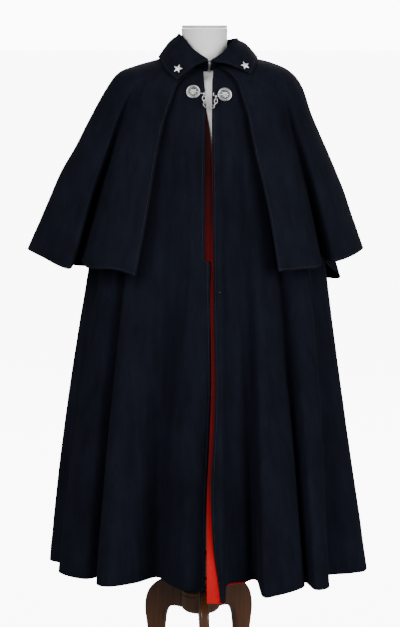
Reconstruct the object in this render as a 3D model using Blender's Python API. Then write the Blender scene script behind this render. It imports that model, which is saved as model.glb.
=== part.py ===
"""A long wool cloak with a shoulder cape and a turned-down collar, on a dress form with a three-legged stand.

Metres, +Z up, floor at z = 0, the front towards -Y. Every sheet of cloth is a ring of folds around the form:
its sections and its folds stand in the tables below, one row each. Angles are in degrees from the front, and
grow towards +X, the wearer's left.
"""

import math
from collections import namedtuple

import bmesh
import bpy
from mathutils import Vector

# Where the form's axis stands, so that the origin is under the middle of the whole
AXIS_X = 0.0185
AXIS_Y = 0.0220

# Cloth
BODY_CLOTH = 0.0025
CAPE_CLOTH = 0.0025
COLLAR_CLOTH = 0.0020
FACING_CLOTH = 0.0012
GAP = 0.0003
SHARP_ANGLE = math.radians(38.0)
HEM_Z = 0.3670
BODY_BOW_RIGHT = 0.0080
BODY_BOW_LEFT = 0.0000
LEFT_FRONT_STEPS = 32
FACING_COLUMNS = 11
FACING_DROP = 0.0030
FACING_MARGIN = 0.0058
EDGE_STEP = 0.0106
EDGE_STEP_LEVEL = 6.56

# Clasp, stars and stud
BOSS_RADIUS = 0.0155
BOSS_HEIGHT = 0.0065
BOSS_LEFT = (0.0442, 1.4200)
BOSS_RIGHT = (-0.0246, 1.4260)
WIRE = 0.0009
LINK_LENGTH = 0.0124
LINK_WIDTH = 0.0080
LINK_PITCH = LINK_LENGTH - 4 * WIRE - 3 * GAP
STAR_RADIUS = 0.0108
STAR_WAIST = 0.42
STAR_HEIGHT = 0.0028
STUD_RADIUS = 0.0018

# Dress form and stand
NECK_TOP_Z = 1.5700
CAP_HEIGHT = 0.0062
FORM_BASE_Z = 0.7500
COLUMN_RADIUS = 0.0150
HUB_RADIUS = 0.0463
HUB_BOTTOM_Z = 0.2240
PLATE_Z = 0.2680
LEG_THICKNESS = 0.0220
LEG_TURN = 4.0
STAND_ASIDE = -0.0087

Section = namedtuple("Section", "left right front back z_front z_left z_right z_back right_edge left_edge")

# Body of the cloak from the neckline to the level of the cape's hem, with the x of each front edge
BODY_SECTIONS = [
    Section(0.0640, 0.0660, 0.0680, 0.0700, 1.4740, 1.5080, 1.5080, 1.5080, -0.0027, 0.0190),
    Section(0.1000, 0.1040, 0.0890, 0.0880, 1.4560, 1.4870, 1.4890, 1.4920, -0.0015, 0.0180),
    Section(0.1480, 0.1480, 0.1080, 0.1010, 1.4260, 1.4720, 1.4770, 1.4680, 0.0010, 0.0172),
    Section(0.1840, 0.1830, 0.1210, 0.1130, 1.3860, 1.4520, 1.4520, 1.4300, 0.0020, 0.0168),
    Section(0.2040, 0.2020, 0.1340, 0.1260, 1.3280, 1.3930, 1.3940, 1.3640, 0.0015, 0.0166),
    Section(0.2210, 0.2220, 0.1500, 0.1440, 1.2430, 1.2850, 1.2850, 1.2650, 0.0002, 0.0170),
    Section(0.2400, 0.2480, 0.1690, 0.1650, 1.1330, 1.1500, 1.1500, 1.1400, 0.0000, 0.0173),
    Section(0.2600, 0.2700, 0.1870, 0.1860, 1.0200, 1.0200, 1.0200, 1.0200, 0.0005, 0.0190),
]
WAIST = len(BODY_SECTIONS) - 1
BODY_LEVELS = [0.0, 1.0, 2.0, 3.0, 4.0, 5.0, 6.0, 6.54, 6.58, 7.0, 7.2, 7.4, 7.6, 7.8, 8.0]

Edge = namedtuple("Edge", "z right_edge left_edge facing_edge")

# The x of the front edges below that level: wearer's right, wearer's left, and the facing that shows past it
FRONT_EDGES = [
    Edge(1.0200, 0.0111, 0.0190, 0.0112),
    Edge(0.9100, 0.0130, 0.0205, 0.0132),
    Edge(0.8000, 0.0138, 0.0225, 0.0140),
    Edge(0.6900, 0.0096, 0.0190, 0.0098),
    Edge(0.5800, 0.0040, 0.0135, 0.0045),
    Edge(0.4700, 0.0018, 0.0180, 0.0038),
    Edge(0.3670, 0.0007, 0.0330, 0.0037),
]

LiningRow = namedtuple("LiningRow", "z far_edge")

# The x of the upper lining's edge towards the wearer's left, from its top to its square lower end
LINING_ROWS = [
    LiningRow(1.4120, 0.0005),
    LiningRow(1.3700, 0.0074),
    LiningRow(1.3300, 0.0124),
    LiningRow(1.2800, 0.0150),
    LiningRow(1.2250, 0.0190),
    LiningRow(1.1700, 0.0290),
    LiningRow(1.1200, 0.0300),
    LiningRow(1.0610, 0.0300),
]

Fold = namedtuple("Fold", "waist_angle waist_out hem_angle hem_radius hem_drop")

# The body's folds all round, from the wearer's left front edge by the back to the right front edge
LEFT_FRONT_FOLDS = [
    Fold(5.5, 0.006, 4.8, 0.3850, 0.010),
    Fold(10.5, 0.008, 6.4, 0.3870, 0.010),
    Fold(15.0, -0.002, 8.6, 0.3340, -0.012),
    Fold(21.0, -0.004, 15.8, 0.3220, -0.015),
    Fold(27.0, -0.008, 20.6, 0.3140, -0.015),
    Fold(32.0, 0.008, 18.4, 0.3900, 0.002),
    Fold(39.0, 0.006, 24.0, 0.3930, 0.002),
    Fold(46.5, 0.000, 34.6, 0.3740, 0.000),
    Fold(52.0, -0.020, 39.4, 0.3460, 0.000),
    Fold(55.0, 0.008, 36.2, 0.4020, 0.000),
    Fold(64.0, 0.012, 41.5, 0.4070, 0.000),
    Fold(72.0, -0.006, 51.0, 0.3420, 0.000),
    Fold(81.0, 0.006, 60.0, 0.3820, 0.000),
    Fold(92.0, 0.004, 66.0, 0.3960, 0.000),
    Fold(102.0, -0.004, 84.0, 0.3560, 0.000),
]
BACK_FOLDS = [
    Fold(112.0, 0.006, 100.0, 0.3640, 0.000),
    Fold(122.0, -0.012, 113.0, 0.3030, 0.000),
    Fold(134.0, 0.008, 126.0, 0.3620, 0.000),
    Fold(146.0, -0.010, 140.0, 0.2930, 0.000),
    Fold(158.0, 0.008, 153.0, 0.3580, 0.000),
    Fold(169.0, -0.009, 167.0, 0.2880, 0.000),
    Fold(181.0, 0.006, 181.0, 0.3460, 0.000),
    Fold(193.0, -0.009, 194.0, 0.2860, 0.000),
    Fold(204.0, 0.008, 207.0, 0.3560, 0.000),
    Fold(216.0, -0.010, 221.0, 0.2900, 0.000),
    Fold(228.0, 0.008, 235.0, 0.3600, 0.000),
    Fold(239.0, -0.012, 248.0, 0.3020, 0.000),
]
RIGHT_FRONT_FOLDS = [
    Fold(250.0, 0.006, 261.0, 0.3560, 0.000),
    Fold(264.0, 0.002, 276.0, 0.3500, 0.000),
    Fold(276.0, 0.004, 283.5, 0.3600, 0.000),
    Fold(285.0, -0.008, 291.5, 0.3330, 0.000),
    Fold(292.0, 0.004, 299.6, 0.3730, 0.000),
    Fold(301.0, 0.004, 312.5, 0.3560, 0.000),
    Fold(306.0, -0.022, 313.8, 0.3060, 0.000),
    Fold(310.0, 0.006, 319.5, 0.3640, 0.000),
    Fold(317.0, 0.008, 325.5, 0.3660, 0.000),
    Fold(325.0, -0.002, 331.0, 0.3100, 0.000),
    Fold(333.0, -0.008, 335.5, 0.2480, 0.000),
    Fold(343.0, 0.000, 348.5, 0.3140, 0.000),
    Fold(351.0, 0.005, 353.5, 0.3370, 0.000),
    Fold(362.0, 0.006, 360.1, 0.3360, 0.000),
]
BODY_FOLDS = LEFT_FRONT_FOLDS + BACK_FOLDS + RIGHT_FRONT_FOLDS
SIDE_SEAM_LEFT = 14.0
BACK_SEAM = 21.0
SIDE_SEAM_RIGHT = 28.0

# Shoulder cape from the neckline to its hem, with the x of each front edge
CAPE_SECTIONS = [
    Section(0.0655, 0.0676, 0.0701, 0.0717, 1.4767, 1.5108, 1.5108, 1.5108, -0.0220, 0.0280),
    Section(0.1030, 0.1080, 0.0950, 0.0940, 1.4620, 1.4955, 1.4990, 1.4970, -0.0340, 0.0480),
    Section(0.1500, 0.1500, 0.1150, 0.1080, 1.4330, 1.4825, 1.4885, 1.4740, -0.0580, 0.0680),
    Section(0.1930, 0.1920, 0.1300, 0.1220, 1.3920, 1.4640, 1.4675, 1.4370, -0.0710, 0.0810),
    Section(0.2250, 0.2190, 0.1450, 0.1370, 1.3350, 1.4210, 1.4320, 1.3800, -0.0880, 0.0950),
    Section(0.2570, 0.2430, 0.1580, 0.1530, 1.2750, 1.3640, 1.3640, 1.3100, -0.1010, 0.1070),
    Section(0.2900, 0.2760, 0.1720, 0.1720, 1.2100, 1.2990, 1.2880, 1.2350, -0.1120, 0.1230),
    Section(0.3250, 0.3080, 0.1840, 0.1920, 1.1480, 1.2370, 1.2120, 1.1600, -0.1220, 0.1370),
    Section(0.3620, 0.3330, 0.1950, 0.2070, 1.0830, 1.1530, 1.1400, 1.0800, -0.1350, 0.1490),
    Section(0.3990, 0.3580, 0.2050, 0.2200, 1.0160, 1.0690, 1.0710, 0.9950, -0.1490, 0.1590),
]
CAPE_HEM = len(CAPE_SECTIONS) - 1
CAPE_FOLDS_START = 2.2

CapeFold = namedtuple("CapeFold", "top_angle hem_angle hem_radius hem_z")

# The cape's folds, from its left front edge by the back to its right front edge
CAPE_FOLDS = [
    CapeFold(28.0, 38.5, 0.2560, 1.0420),
    CapeFold(40.0, 50.0, 0.2780, 1.0440),
    CapeFold(51.0, 58.5, 0.2960, 1.0460),
    CapeFold(60.0, 74.0, 0.2700, 1.0600),
    CapeFold(69.0, 67.5, 0.3140, 1.0545),
    CapeFold(86.0, 88.5, 0.3590, 1.0710),
    CapeFold(99.0, 100.0, 0.3480, 1.0560),
    CapeFold(108.0, 109.0, 0.2980, 1.0300),
    CapeFold(119.0, 114.5, 0.3500, 0.9860),
    CapeFold(131.0, 128.0, 0.3300, 0.9830),
    CapeFold(143.0, 141.0, 0.2560, 1.0000),
    CapeFold(155.0, 153.0, 0.2820, 0.9950),
    CapeFold(167.0, 167.0, 0.2160, 1.0050),
    CapeFold(180.0, 180.0, 0.2500, 1.0000),
    CapeFold(193.0, 193.0, 0.2160, 1.0050),
    CapeFold(205.0, 207.0, 0.2860, 0.9980),
    CapeFold(217.0, 219.0, 0.2600, 1.0050),
    CapeFold(229.0, 232.0, 0.3400, 1.0050),
    CapeFold(242.0, 246.0, 0.3560, 1.0200),
    CapeFold(252.0, 251.0, 0.3180, 1.0400),
    CapeFold(262.0, 261.0, 0.3920, 1.0600),
    CapeFold(273.0, 270.5, 0.3995, 1.0690),
    CapeFold(288.0, 282.5, 0.3700, 1.0600),
    CapeFold(299.0, 296.5, 0.3300, 1.0410),
    CapeFold(305.5, 284.5, 0.2880, 1.0670),
    CapeFold(312.0, 301.0, 0.3000, 1.0450),
    CapeFold(322.0, 312.5, 0.2700, 1.0440),
    CapeFold(335.0, 323.3, 0.2500, 1.0320),
]
CAPE_SEAM = 13.0

CollarRow = namedtuple("CollarRow", "fold_x fold_y fold_z edge_x edge_y")

# The collar's fold line and outer edge, from the wearer's right end by the back to the left end
COLLAR_ROWS = [
    CollarRow(0.0072, -0.0802, 1.4975, -0.0600, -0.1030),
    CollarRow(-0.0110, -0.0740, 1.5090, -0.0705, -0.0950),
    CollarRow(-0.0280, -0.0640, 1.5220, -0.0815, -0.0840),
    CollarRow(-0.0455, -0.0440, 1.5425, -0.0945, -0.0510),
    CollarRow(-0.0570, -0.0100, 1.5525, -0.1015, 0.0000),
    CollarRow(-0.0540, 0.0330, 1.5465, -0.0970, 0.0540),
    CollarRow(-0.0310, 0.0660, 1.5380, -0.0610, 0.0930),
    CollarRow(0.0050, 0.0780, 1.5345, 0.0050, 0.1060),
    CollarRow(0.0420, 0.0660, 1.5370, 0.0750, 0.0930),
    CollarRow(0.0670, 0.0330, 1.5410, 0.1110, 0.0540),
    CollarRow(0.0725, -0.0100, 1.5420, 0.1170, 0.0000),
    CollarRow(0.0610, -0.0440, 1.5320, 0.1160, -0.0400),
    CollarRow(0.0450, -0.0640, 1.5160, 0.1110, -0.0680),
    CollarRow(0.0310, -0.0740, 1.5050, 0.1060, -0.0800),
    CollarRow(0.0152, -0.0802, 1.4960, 0.1010, -0.0890),
]
COLLAR_ROLL = 0.0030
COLLAR_TURN = 0.0110
COLLAR_BULGE = 0.0030
COLLAR_LIFT = 0.0026
COLLAR_STAND_DROP = 0.0012
STAND_BASE = Section(0.0620, 0.0600, 0.0622, 0.0660, 1.4690, 1.5125, 1.5125, 1.5135, 0.0, 0.0)

# The collar's outer edge where it lies on the cape, filled in by main
COLLAR_EDGES = []

# The dress form from the top of its neck to its base
FORM_SECTIONS = [
    Section(0.0512, 0.0512, 0.0510, 0.0530, 1.5635, 1.5635, 1.5635, 1.5635, 0.0, 0.0),
    Section(0.0506, 0.0506, 0.0505, 0.0525, 1.5400, 1.5400, 1.5400, 1.5400, 0.0, 0.0),
    Section(0.0508, 0.0508, 0.0525, 0.0560, 1.4860, 1.5080, 1.5080, 1.5020, 0.0, 0.0),
    Section(0.0620, 0.0620, 0.0590, 0.0640, 1.4610, 1.4930, 1.4930, 1.4890, 0.0, 0.0),
    Section(0.0960, 0.0980, 0.0835, 0.0830, 1.4460, 1.4810, 1.4830, 1.4840, 0.0, 0.0),
    Section(0.1420, 0.1420, 0.1012, 0.0950, 1.4190, 1.4660, 1.4700, 1.4610, 0.0, 0.0),
    Section(0.1770, 0.1760, 0.1122, 0.1060, 1.3830, 1.4450, 1.4450, 1.4260, 0.0, 0.0),
    Section(0.1870, 0.1860, 0.1220, 0.1130, 1.3200, 1.3820, 1.3820, 1.3600, 0.0, 0.0),
    Section(0.1740, 0.1740, 0.1240, 0.1130, 1.2200, 1.2500, 1.2500, 1.2300, 0.0, 0.0),
    Section(0.1420, 0.1420, 0.1050, 0.0960, 1.0600, 1.0600, 1.0600, 1.0600, 0.0, 0.0),
    Section(0.1600, 0.1600, 0.1120, 0.1160, 0.9200, 0.9200, 0.9200, 0.9200, 0.0, 0.0),
    Section(0.1700, 0.1700, 0.1160, 0.1240, 0.8200, 0.8200, 0.8200, 0.8200, 0.0, 0.0),
    Section(0.1640, 0.1640, 0.1120, 0.1200, 0.7500, 0.7500, 0.7500, 0.7500, 0.0, 0.0),
]

LegRow = namedtuple("LegRow", "inner_r inner_z outer_r outer_z")

# A leg's two outlines, from the hub to the floor, by distance from the axis
LEG_ROWS = [
    LegRow(0.0466, 0.2280, 0.0466, 0.2850),
    LegRow(0.0640, 0.2290, 0.0700, 0.2960),
    LegRow(0.0800, 0.2240, 0.1040, 0.2880),
    LegRow(0.0890, 0.2080, 0.1330, 0.2600),
    LegRow(0.0930, 0.1820, 0.1420, 0.2200),
    LegRow(0.0960, 0.1480, 0.1360, 0.1680),
    LegRow(0.1030, 0.1080, 0.1340, 0.1240),
    LegRow(0.1220, 0.0620, 0.1480, 0.0830),
    LegRow(0.1600, 0.0260, 0.1760, 0.0540),
    LegRow(0.2000, 0.0060, 0.2100, 0.0400),
    LegRow(0.2280, 0.0000, 0.2380, 0.0360),
    LegRow(0.2680, 0.0000, 0.2700, 0.0240),
]


def spline(rows, at):
    """A smooth row between the rows of a table, at a place counted in rows."""
    last = len(rows) - 1
    index = max(0, min(int(at), last - 1))
    t = at - index
    before = rows[max(index - 1, 0)]
    start = rows[index]
    end = rows[index + 1]
    after = rows[min(index + 2, last)]
    values = []
    for a, b, c, d in zip(before, start, end, after):
        slope_b = 0.5 * (c - a)
        slope_c = 0.5 * (d - b)
        cubic = 2 * b - 2 * c + slope_b + slope_c
        square = 3 * c - 3 * b - 2 * slope_b - slope_c
        values.append(((cubic * t + square) * t + slope_b) * t + b)
    return type(start)(*values) if hasattr(start, "_fields") else values


def ease(t):
    """From 0 to 1, level at both ends."""
    t = max(0.0, min(1.0, t))
    return t * t * (3 - 2 * t)


def ring_point(section, angle, out=0.0):
    """The point of a section at an angle in degrees, moved out from the axis by a distance."""
    across = math.sin(math.radians(angle))
    ahead = math.cos(math.radians(angle))
    width = section.right if across > 0 else section.left
    depth = section.front if ahead > 0 else section.back
    radius = out + 1.0 / math.hypot(across / width, ahead / depth)
    z_side = section.z_right if across > 0 else section.z_left
    z_end = section.z_front if ahead > 0 else section.z_back
    return Vector((radius * across, -radius * ahead, z_side + (z_end - z_side) * ahead * ahead))


def edge_angle(section, x):
    """The angle in degrees at which a section's front half has this x."""
    width = section.right if x > 0 else section.left
    return math.degrees(math.atan2(x, section.front * math.sqrt(1 - (x / width) ** 2)))


def fitted_angle(angle, first, last, section, reach):
    """An angle moved so that the first and last ones land on the section's front edges."""
    start = edge_angle(section, section.left_edge)
    end = 360.0 + edge_angle(section, section.right_edge)
    near_start = ease(1 - (angle - first) / reach)
    near_end = ease(1 - (last - angle) / reach)
    return angle + (start - first) * near_start + (end - last) * near_end


def body_point(fold, level):
    """The body's outer face: fold counts rows of BODY_FOLDS, level its sections and one more to the hem."""
    row = spline(BODY_FOLDS, fold)
    first = BODY_FOLDS[0].waist_angle
    last = BODY_FOLDS[-1].waist_angle
    section = spline(BODY_SECTIONS, min(level, WAIST))
    angle = fitted_angle(row.waist_angle, first, last, section, 60.0)
    angle += edge_step(fold, min(level, WAIST), section)
    grown = ease((min(level, WAIST) - 2.0) / (WAIST - 2.0))
    top = ring_point(section, angle, row.waist_out * grown)
    if level <= WAIST:
        return top
    down = level - WAIST
    turn = math.radians(row.hem_angle)
    bow = bow_at(turn, down)
    hem = Vector((row.hem_radius * math.sin(turn), -row.hem_radius * math.cos(turn), HEM_Z - row.hem_drop))
    point = top.lerp(hem, down)
    point.x += bow * math.sin(turn)
    point.y -= bow * math.cos(turn)
    return moved_to_edges(point, fold, down)


def edge_step(fold, level, section):
    """How far in degrees the right front reaches further across below the upper lining's lower end."""
    near = ease(1 - (len(BODY_FOLDS) - 1 - fold) / 0.8)
    below = ease((level - EDGE_STEP_LEVEL) / 0.03 + 0.5)
    return math.degrees(EDGE_STEP / section.front) * near * below


def bow_at(turn, down):
    """How far the body swings out between its waist and its hem, more on the wearer's right."""
    middle = (BODY_BOW_LEFT + BODY_BOW_RIGHT) / 2
    return (middle + (BODY_BOW_LEFT - middle) * math.sin(turn)) * math.sin(math.pi * down)


def moved_to_edges(point, fold, down):
    """A point of the body below the waist, moved across so that the front edges follow their table."""
    edge = spline(FRONT_EDGES, down * (len(FRONT_EDGES) - 1))
    count = len(BODY_FOLDS) - 1
    for end, wanted, reach in ((0, edge.left_edge, 1.6), (count, edge.right_edge, 2.5)):
        near = ease(1 - abs(fold - end) / reach)
        if near > 0:
            point.x += near * (wanted - straight_edge_x(end, down))
    return point


def straight_edge_x(end, down):
    """The x at which a front edge would hang, were it straight."""
    row = BODY_FOLDS[end]
    section = BODY_SECTIONS[WAIST]
    wanted = section.left_edge if end == 0 else section.right_edge
    angle = edge_angle(section, wanted) + edge_step(end, WAIST, section)
    top = ring_point(section, angle, row.waist_out)
    turn = math.radians(row.hem_angle)
    bow = bow_at(turn, down)
    return top.x + (row.hem_radius * math.sin(turn) - top.x) * down + bow * math.sin(turn)


def cape_point(fold, level):
    """The cape's outer face: fold counts the rows of CAPE_FOLDS, level those of its sections."""
    row = spline(CAPE_FOLDS, fold)
    first = CAPE_FOLDS[0].top_angle
    last = CAPE_FOLDS[-1].top_angle
    section = spline(CAPE_SECTIONS, level)
    point = ring_point(section, fitted_angle(row.top_angle, first, last, section, 70.0))
    grown = max(0.0, (level - CAPE_FOLDS_START) / (CAPE_HEM - CAPE_FOLDS_START)) ** 1.25
    if grown > 0:
        hem_section = CAPE_SECTIONS[CAPE_HEM]
        plain = ring_point(hem_section, fitted_angle(row.top_angle, first, last, hem_section, 70.0))
        turn = math.radians(row.hem_angle)
        point.x += grown * (row.hem_radius * math.sin(turn) - plain.x)
        point.y += grown * (-row.hem_radius * math.cos(turn) - plain.y)
        point.z += grown * (row.hem_z - plain.z)
    return point


def cape_place(x, y, fold, level):
    """The place on the cape over this x and y, sought from a first guess."""
    step = 0.002
    for _ in range(40):
        here = cape_point(fold, level)
        by_fold = (cape_point(fold + step, level) - here) / step
        by_level = (cape_point(fold, level + step) - here) / step
        area = by_fold.x * by_level.y - by_level.x * by_fold.y
        fold += 0.5 * ((x - here.x) * by_level.y - by_level.x * (y - here.y)) / area
        level += 0.5 * (by_fold.x * (y - here.y) - (x - here.x) * by_fold.y) / area
        fold = max(0.0, min(len(CAPE_FOLDS) - 1.01, fold))
        level = max(0.1, min(3.0, level))
    return fold, level


def collar_edges():
    """The collar's outer edge, laid on the cape."""
    edges = []
    for row in COLLAR_ROWS:
        angle = math.degrees(math.atan2(row.edge_x, -row.edge_y)) % 360.0
        near = [abs(fold.top_angle - angle) for fold in CAPE_FOLDS]
        fold, level = cape_place(row.edge_x, row.edge_y, float(near.index(min(near))), 1.0)
        lift = COLLAR_CLOTH + COLLAR_LIFT
        edges.append(cape_point(fold, level) + cape_normal(fold, level) * lift)
    return [list(edge) for edge in edges]


def collar_fold(place):
    """The collar's fold line at a place counted in rows, and the level direction out of it."""
    step = 0.02
    at = max(step, min(len(COLLAR_ROWS) - 1 - step, place))
    before = spline(COLLAR_ROWS, at - step)
    after = spline(COLLAR_ROWS, at + step)
    along = Vector((after.fold_x - before.fold_x, after.fold_y - before.fold_y, 0.0)).normalized()
    row = spline(COLLAR_ROWS, place)
    return Vector((row.fold_x, row.fold_y, row.fold_z)), Vector((-along.y, along.x, 0.0))


def collar_point(place, turn):
    """The collar fall's outer face: turn runs from 0 inside the neck over the fold at 2 to the edge at 6."""
    fold, outward = collar_fold(place)
    edge = Vector(spline(COLLAR_EDGES, place))
    up = Vector((0.0, 0.0, 1.0))
    bulge = (outward + up) * COLLAR_BULGE
    profile = [
        fold - outward * COLLAR_ROLL - up * COLLAR_TURN,
        fold - outward * COLLAR_ROLL - up * 0.0035,
        fold,
        fold + outward * COLLAR_ROLL - up * 0.0035 + (edge - fold) * 0.04,
        fold.lerp(edge, 0.36) + bulge * 0.9,
        fold.lerp(edge, 0.68) + bulge * 0.7,
        edge,
    ]
    return Vector(spline(profile, turn))


def collar_stand_point(place, turn):
    """The collar stand's neck side: turn runs from 0 at its top to 1 at the neckline."""
    fold, outward = collar_fold(place)
    top = fold - outward * COLLAR_ROLL
    top.z -= COLLAR_TURN + COLLAR_STAND_DROP
    base = ring_point(STAND_BASE, math.degrees(math.atan2(top.x - 0.003, -top.y)))
    base.x += 0.003
    return top.lerp(base, turn)


def outward_normal(surface, fold, level, last_fold, last_level):
    """The direction out of a surface at a place on it."""
    step = 0.01
    low_fold = max(0.0, fold - step)
    high_fold = min(last_fold, fold + step)
    low_level = max(0.0, level - step)
    high_level = min(last_level, level + step)
    across = surface(high_fold, level) - surface(low_fold, level)
    down = surface(fold, high_level) - surface(fold, low_level)
    return across.cross(down).normalized() * -1.0


def body_normal(fold, level):
    return outward_normal(body_point, fold, level, len(BODY_FOLDS) - 1.0, WAIST + 1.0)


def cape_normal(fold, level):
    return outward_normal(cape_point, fold, level, len(CAPE_FOLDS) - 1.0, float(CAPE_HEM))


def collar_normal(place, turn):
    return outward_normal(collar_point, place, turn, len(COLLAR_ROWS) - 1.0, 6.0) * -1.0


def collar_stand_normal(place, turn):
    return outward_normal(collar_stand_point, place, turn, len(COLLAR_ROWS) - 1.0, 1.0)


def steps(start, end, count):
    """Evenly spaced places from start to end, both included."""
    return [start + (end - start) * i / count for i in range(count + 1)]


def material(name, colour, metallic, roughness):
    made = bpy.data.materials.new(name)
    made.use_nodes = True
    shader = made.node_tree.nodes["Principled BSDF"]
    shader.inputs["Base Color"].default_value = (*colour, 1.0)
    shader.inputs["Metallic"].default_value = metallic
    shader.inputs["Roughness"].default_value = roughness
    return made


def solid(name, points, faces, look):
    """One named closed body, moved to the form's axis, with its faces outward."""
    mesh = bpy.data.meshes.new(name)
    build = bmesh.new()
    verts = [build.verts.new((p.x + AXIS_X, p.y + AXIS_Y, p.z)) for p in points]
    for face in faces:
        build.faces.new([verts[i] for i in face])
    bmesh.ops.recalc_face_normals(build, faces=build.faces)
    build.to_mesh(mesh)
    build.free()
    mesh.shade_smooth()
    mesh.set_sharp_from_angle(angle=SHARP_ANGLE)
    made = bpy.data.objects.new(name, mesh)
    made.data.materials.append(look)
    bpy.context.scene.collection.objects.link(made)
    return made


def wall(name, outer, inner, look):
    """A closed sheet between two grids of points, both cut along the same diagonals."""
    high = len(outer)
    wide = len(outer[0])
    points = [p for row in outer for p in row] + [p for row in inner for p in row]
    side = high * wide
    faces = []
    for i in range(high - 1):
        for j in range(wide - 1):
            a = i * wide + j
            b = a + wide
            for start in (0, side):
                faces.append((a + start, a + 1 + start, b + start))
                faces.append((a + 1 + start, b + 1 + start, b + start))
    rim = [j for j in range(wide)]
    rim += [i * wide + wide - 1 for i in range(1, high)]
    rim += [(high - 1) * wide + j for j in range(wide - 2, -1, -1)]
    rim += [i * wide for i in range(high - 2, 0, -1)]
    for here, there in zip(rim, rim[1:] + rim[:1]):
        faces.append((here, there, here + side))
        faces.append((there, there + side, here + side))
    return solid(name, points, faces, look)


def sheet(name, surface, normal, folds, levels, cloth, look, moved=0.0):
    """A wall of cloth under a surface, its first and last columns drawn in by half a seam's gap."""
    outer = []
    inner = []
    for level in levels:
        row = [surface(fold, level) for fold in folds]
        out = [normal(fold, level) for fold in folds]
        row[0] += (row[1] - row[0]).normalized() * GAP * 0.5
        row[-1] += (row[-2] - row[-1]).normalized() * GAP * 0.5
        outer.append([p + n * moved for p, n in zip(row, out)])
        inner.append([p + n * (moved - cloth) for p, n in zip(row, out)])
    return wall(name, outer, inner, look)


def ring_solid(name, rings, look):
    """A closed body through rings of points, its two ends flat fans."""
    wide = len(rings[0])
    points = [p for ring in rings for p in ring]
    faces = []
    for i in range(len(rings) - 1):
        for j in range(wide):
            a = i * wide + j
            b = i * wide + (j + 1) % wide
            faces.append((a, b, b + wide, a + wide))
    for start, ring in ((0, rings[0]), ((len(rings) - 1) * wide, rings[-1])):
        middle = len(points)
        points.append(sum(ring, Vector((0.0, 0.0, 0.0))) / wide)
        for j in range(wide):
            faces.append((start + j, start + (j + 1) % wide, middle))
    return solid(name, points, faces, look)


def turned(name, profile, sides, look, aside=0.0):
    """A body turned about the axis or a line beside it, from rows of radius and height."""
    rings = []
    for radius, z in profile:
        angles = [2 * math.pi * j / sides for j in range(sides)]
        rings.append([Vector((aside + radius * math.sin(a), -radius * math.cos(a), z)) for a in angles])
    return ring_solid(name, rings, look)


def closed_tube(name, path, radius, sides, look):
    """A closed loop of round wire through a flat path of points."""
    count = len(path)
    middle = sum(path, Vector((0.0, 0.0, 0.0))) / count
    flat = (path[0] - middle).cross(path[count // 4] - middle).normalized()
    points = []
    for i, here in enumerate(path):
        along = (path[(i + 1) % count] - path[i - 1]).normalized()
        aside = along.cross(flat).normalized()
        for j in range(sides):
            a = 2 * math.pi * j / sides
            points.append(here + aside * (radius * math.cos(a)) + flat * (radius * math.sin(a)))
    faces = []
    for i in range(count):
        for j in range(sides):
            a = i * sides + j
            b = i * sides + (j + 1) % sides
            c = ((i + 1) % count) * sides
            faces.append((a, b, c + (j + 1) % sides, c + j))
    return solid(name, points, faces, look)


def open_tube(name, path, radius, sides, look):
    """A rod of round wire through a path of points."""
    rings = []
    aside = None
    for i, here in enumerate(path):
        along = (path[min(i + 1, len(path) - 1)] - path[max(i - 1, 0)]).normalized()
        start = aside if aside is not None else Vector((0.31, 0.17, 0.93))
        aside = (start - along * start.dot(along)).normalized()
        other = along.cross(aside)
        angles = [2 * math.pi * j / sides for j in range(sides)]
        rings.append([here + (aside * math.cos(a) + other * math.sin(a)) * radius for a in angles])
    return ring_solid(name, rings, look)


def found(surface, x, z, fold, level):
    """The place on a surface with this x and z, sought from a first guess."""
    step = 0.002
    for _ in range(30):
        here = surface(fold, level)
        by_fold = (surface(fold + step, level) - here) / step
        by_level = (surface(fold, level + step) - here) / step
        miss_x = x - here.x
        miss_z = z - here.z
        area = by_fold.x * by_level.z - by_level.x * by_fold.z
        fold += 0.6 * (miss_x * by_level.z - by_level.x * miss_z) / area
        level += 0.6 * (by_fold.x * miss_z - miss_x * by_fold.z) / area
    return fold, level


def frame_of(out):
    """Two directions square to this one: level across, and up."""
    across = Vector((0.0, 0.0, 1.0)).cross(out).normalized()
    return across, out.cross(across).normalized()


def dome(name, centre, out, profile, sides, look):
    """A round piece on a surface, from rows of radius and height above it."""
    across, up = frame_of(out)
    rings = []
    for radius, high in profile:
        ring = []
        for j in range(sides):
            a = 2 * math.pi * j / sides
            ring.append(centre + out * high + (across * math.cos(a) + up * math.sin(a)) * radius)
        rings.append(ring)
    return ring_solid(name, rings, look)


def star(name, centre, out, tilt, look):
    """A plain five-pointed star with a raised middle."""
    across, up = frame_of(out)
    points = []
    for back in (False, True):
        for j in range(10):
            radius = STAR_RADIUS if j % 2 == 0 else STAR_RADIUS * STAR_WAIST
            a = math.radians(tilt + 36 * j)
            spot = centre + (up * math.cos(a) + across * math.sin(a)) * radius
            points.append(spot if back else spot + out * 0.0009)
    points.append(centre + out * STAR_HEIGHT)
    points.append(centre.copy())
    faces = []
    for j in range(10):
        k = (j + 1) % 10
        faces.append((j, k, 20))
        faces.append((j + 10, k + 10, 21))
        faces.append((j, k, k + 10, j + 10))
    return solid(name, points, faces, look)


def build_form(cloth):
    rings = []
    for section in FORM_SECTIONS:
        rings.append([ring_point(section, 360.0 * j / 28) for j in range(28)])
    ring_solid("form_torso", rings, cloth)
    base = NECK_TOP_Z - CAP_HEIGHT
    profile = [(0.0492, base), (0.0504, base + 0.001), (0.0504, NECK_TOP_Z - 0.001), (0.0492, NECK_TOP_Z)]
    turned("form_neck_cap", profile, 28, cloth)


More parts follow.
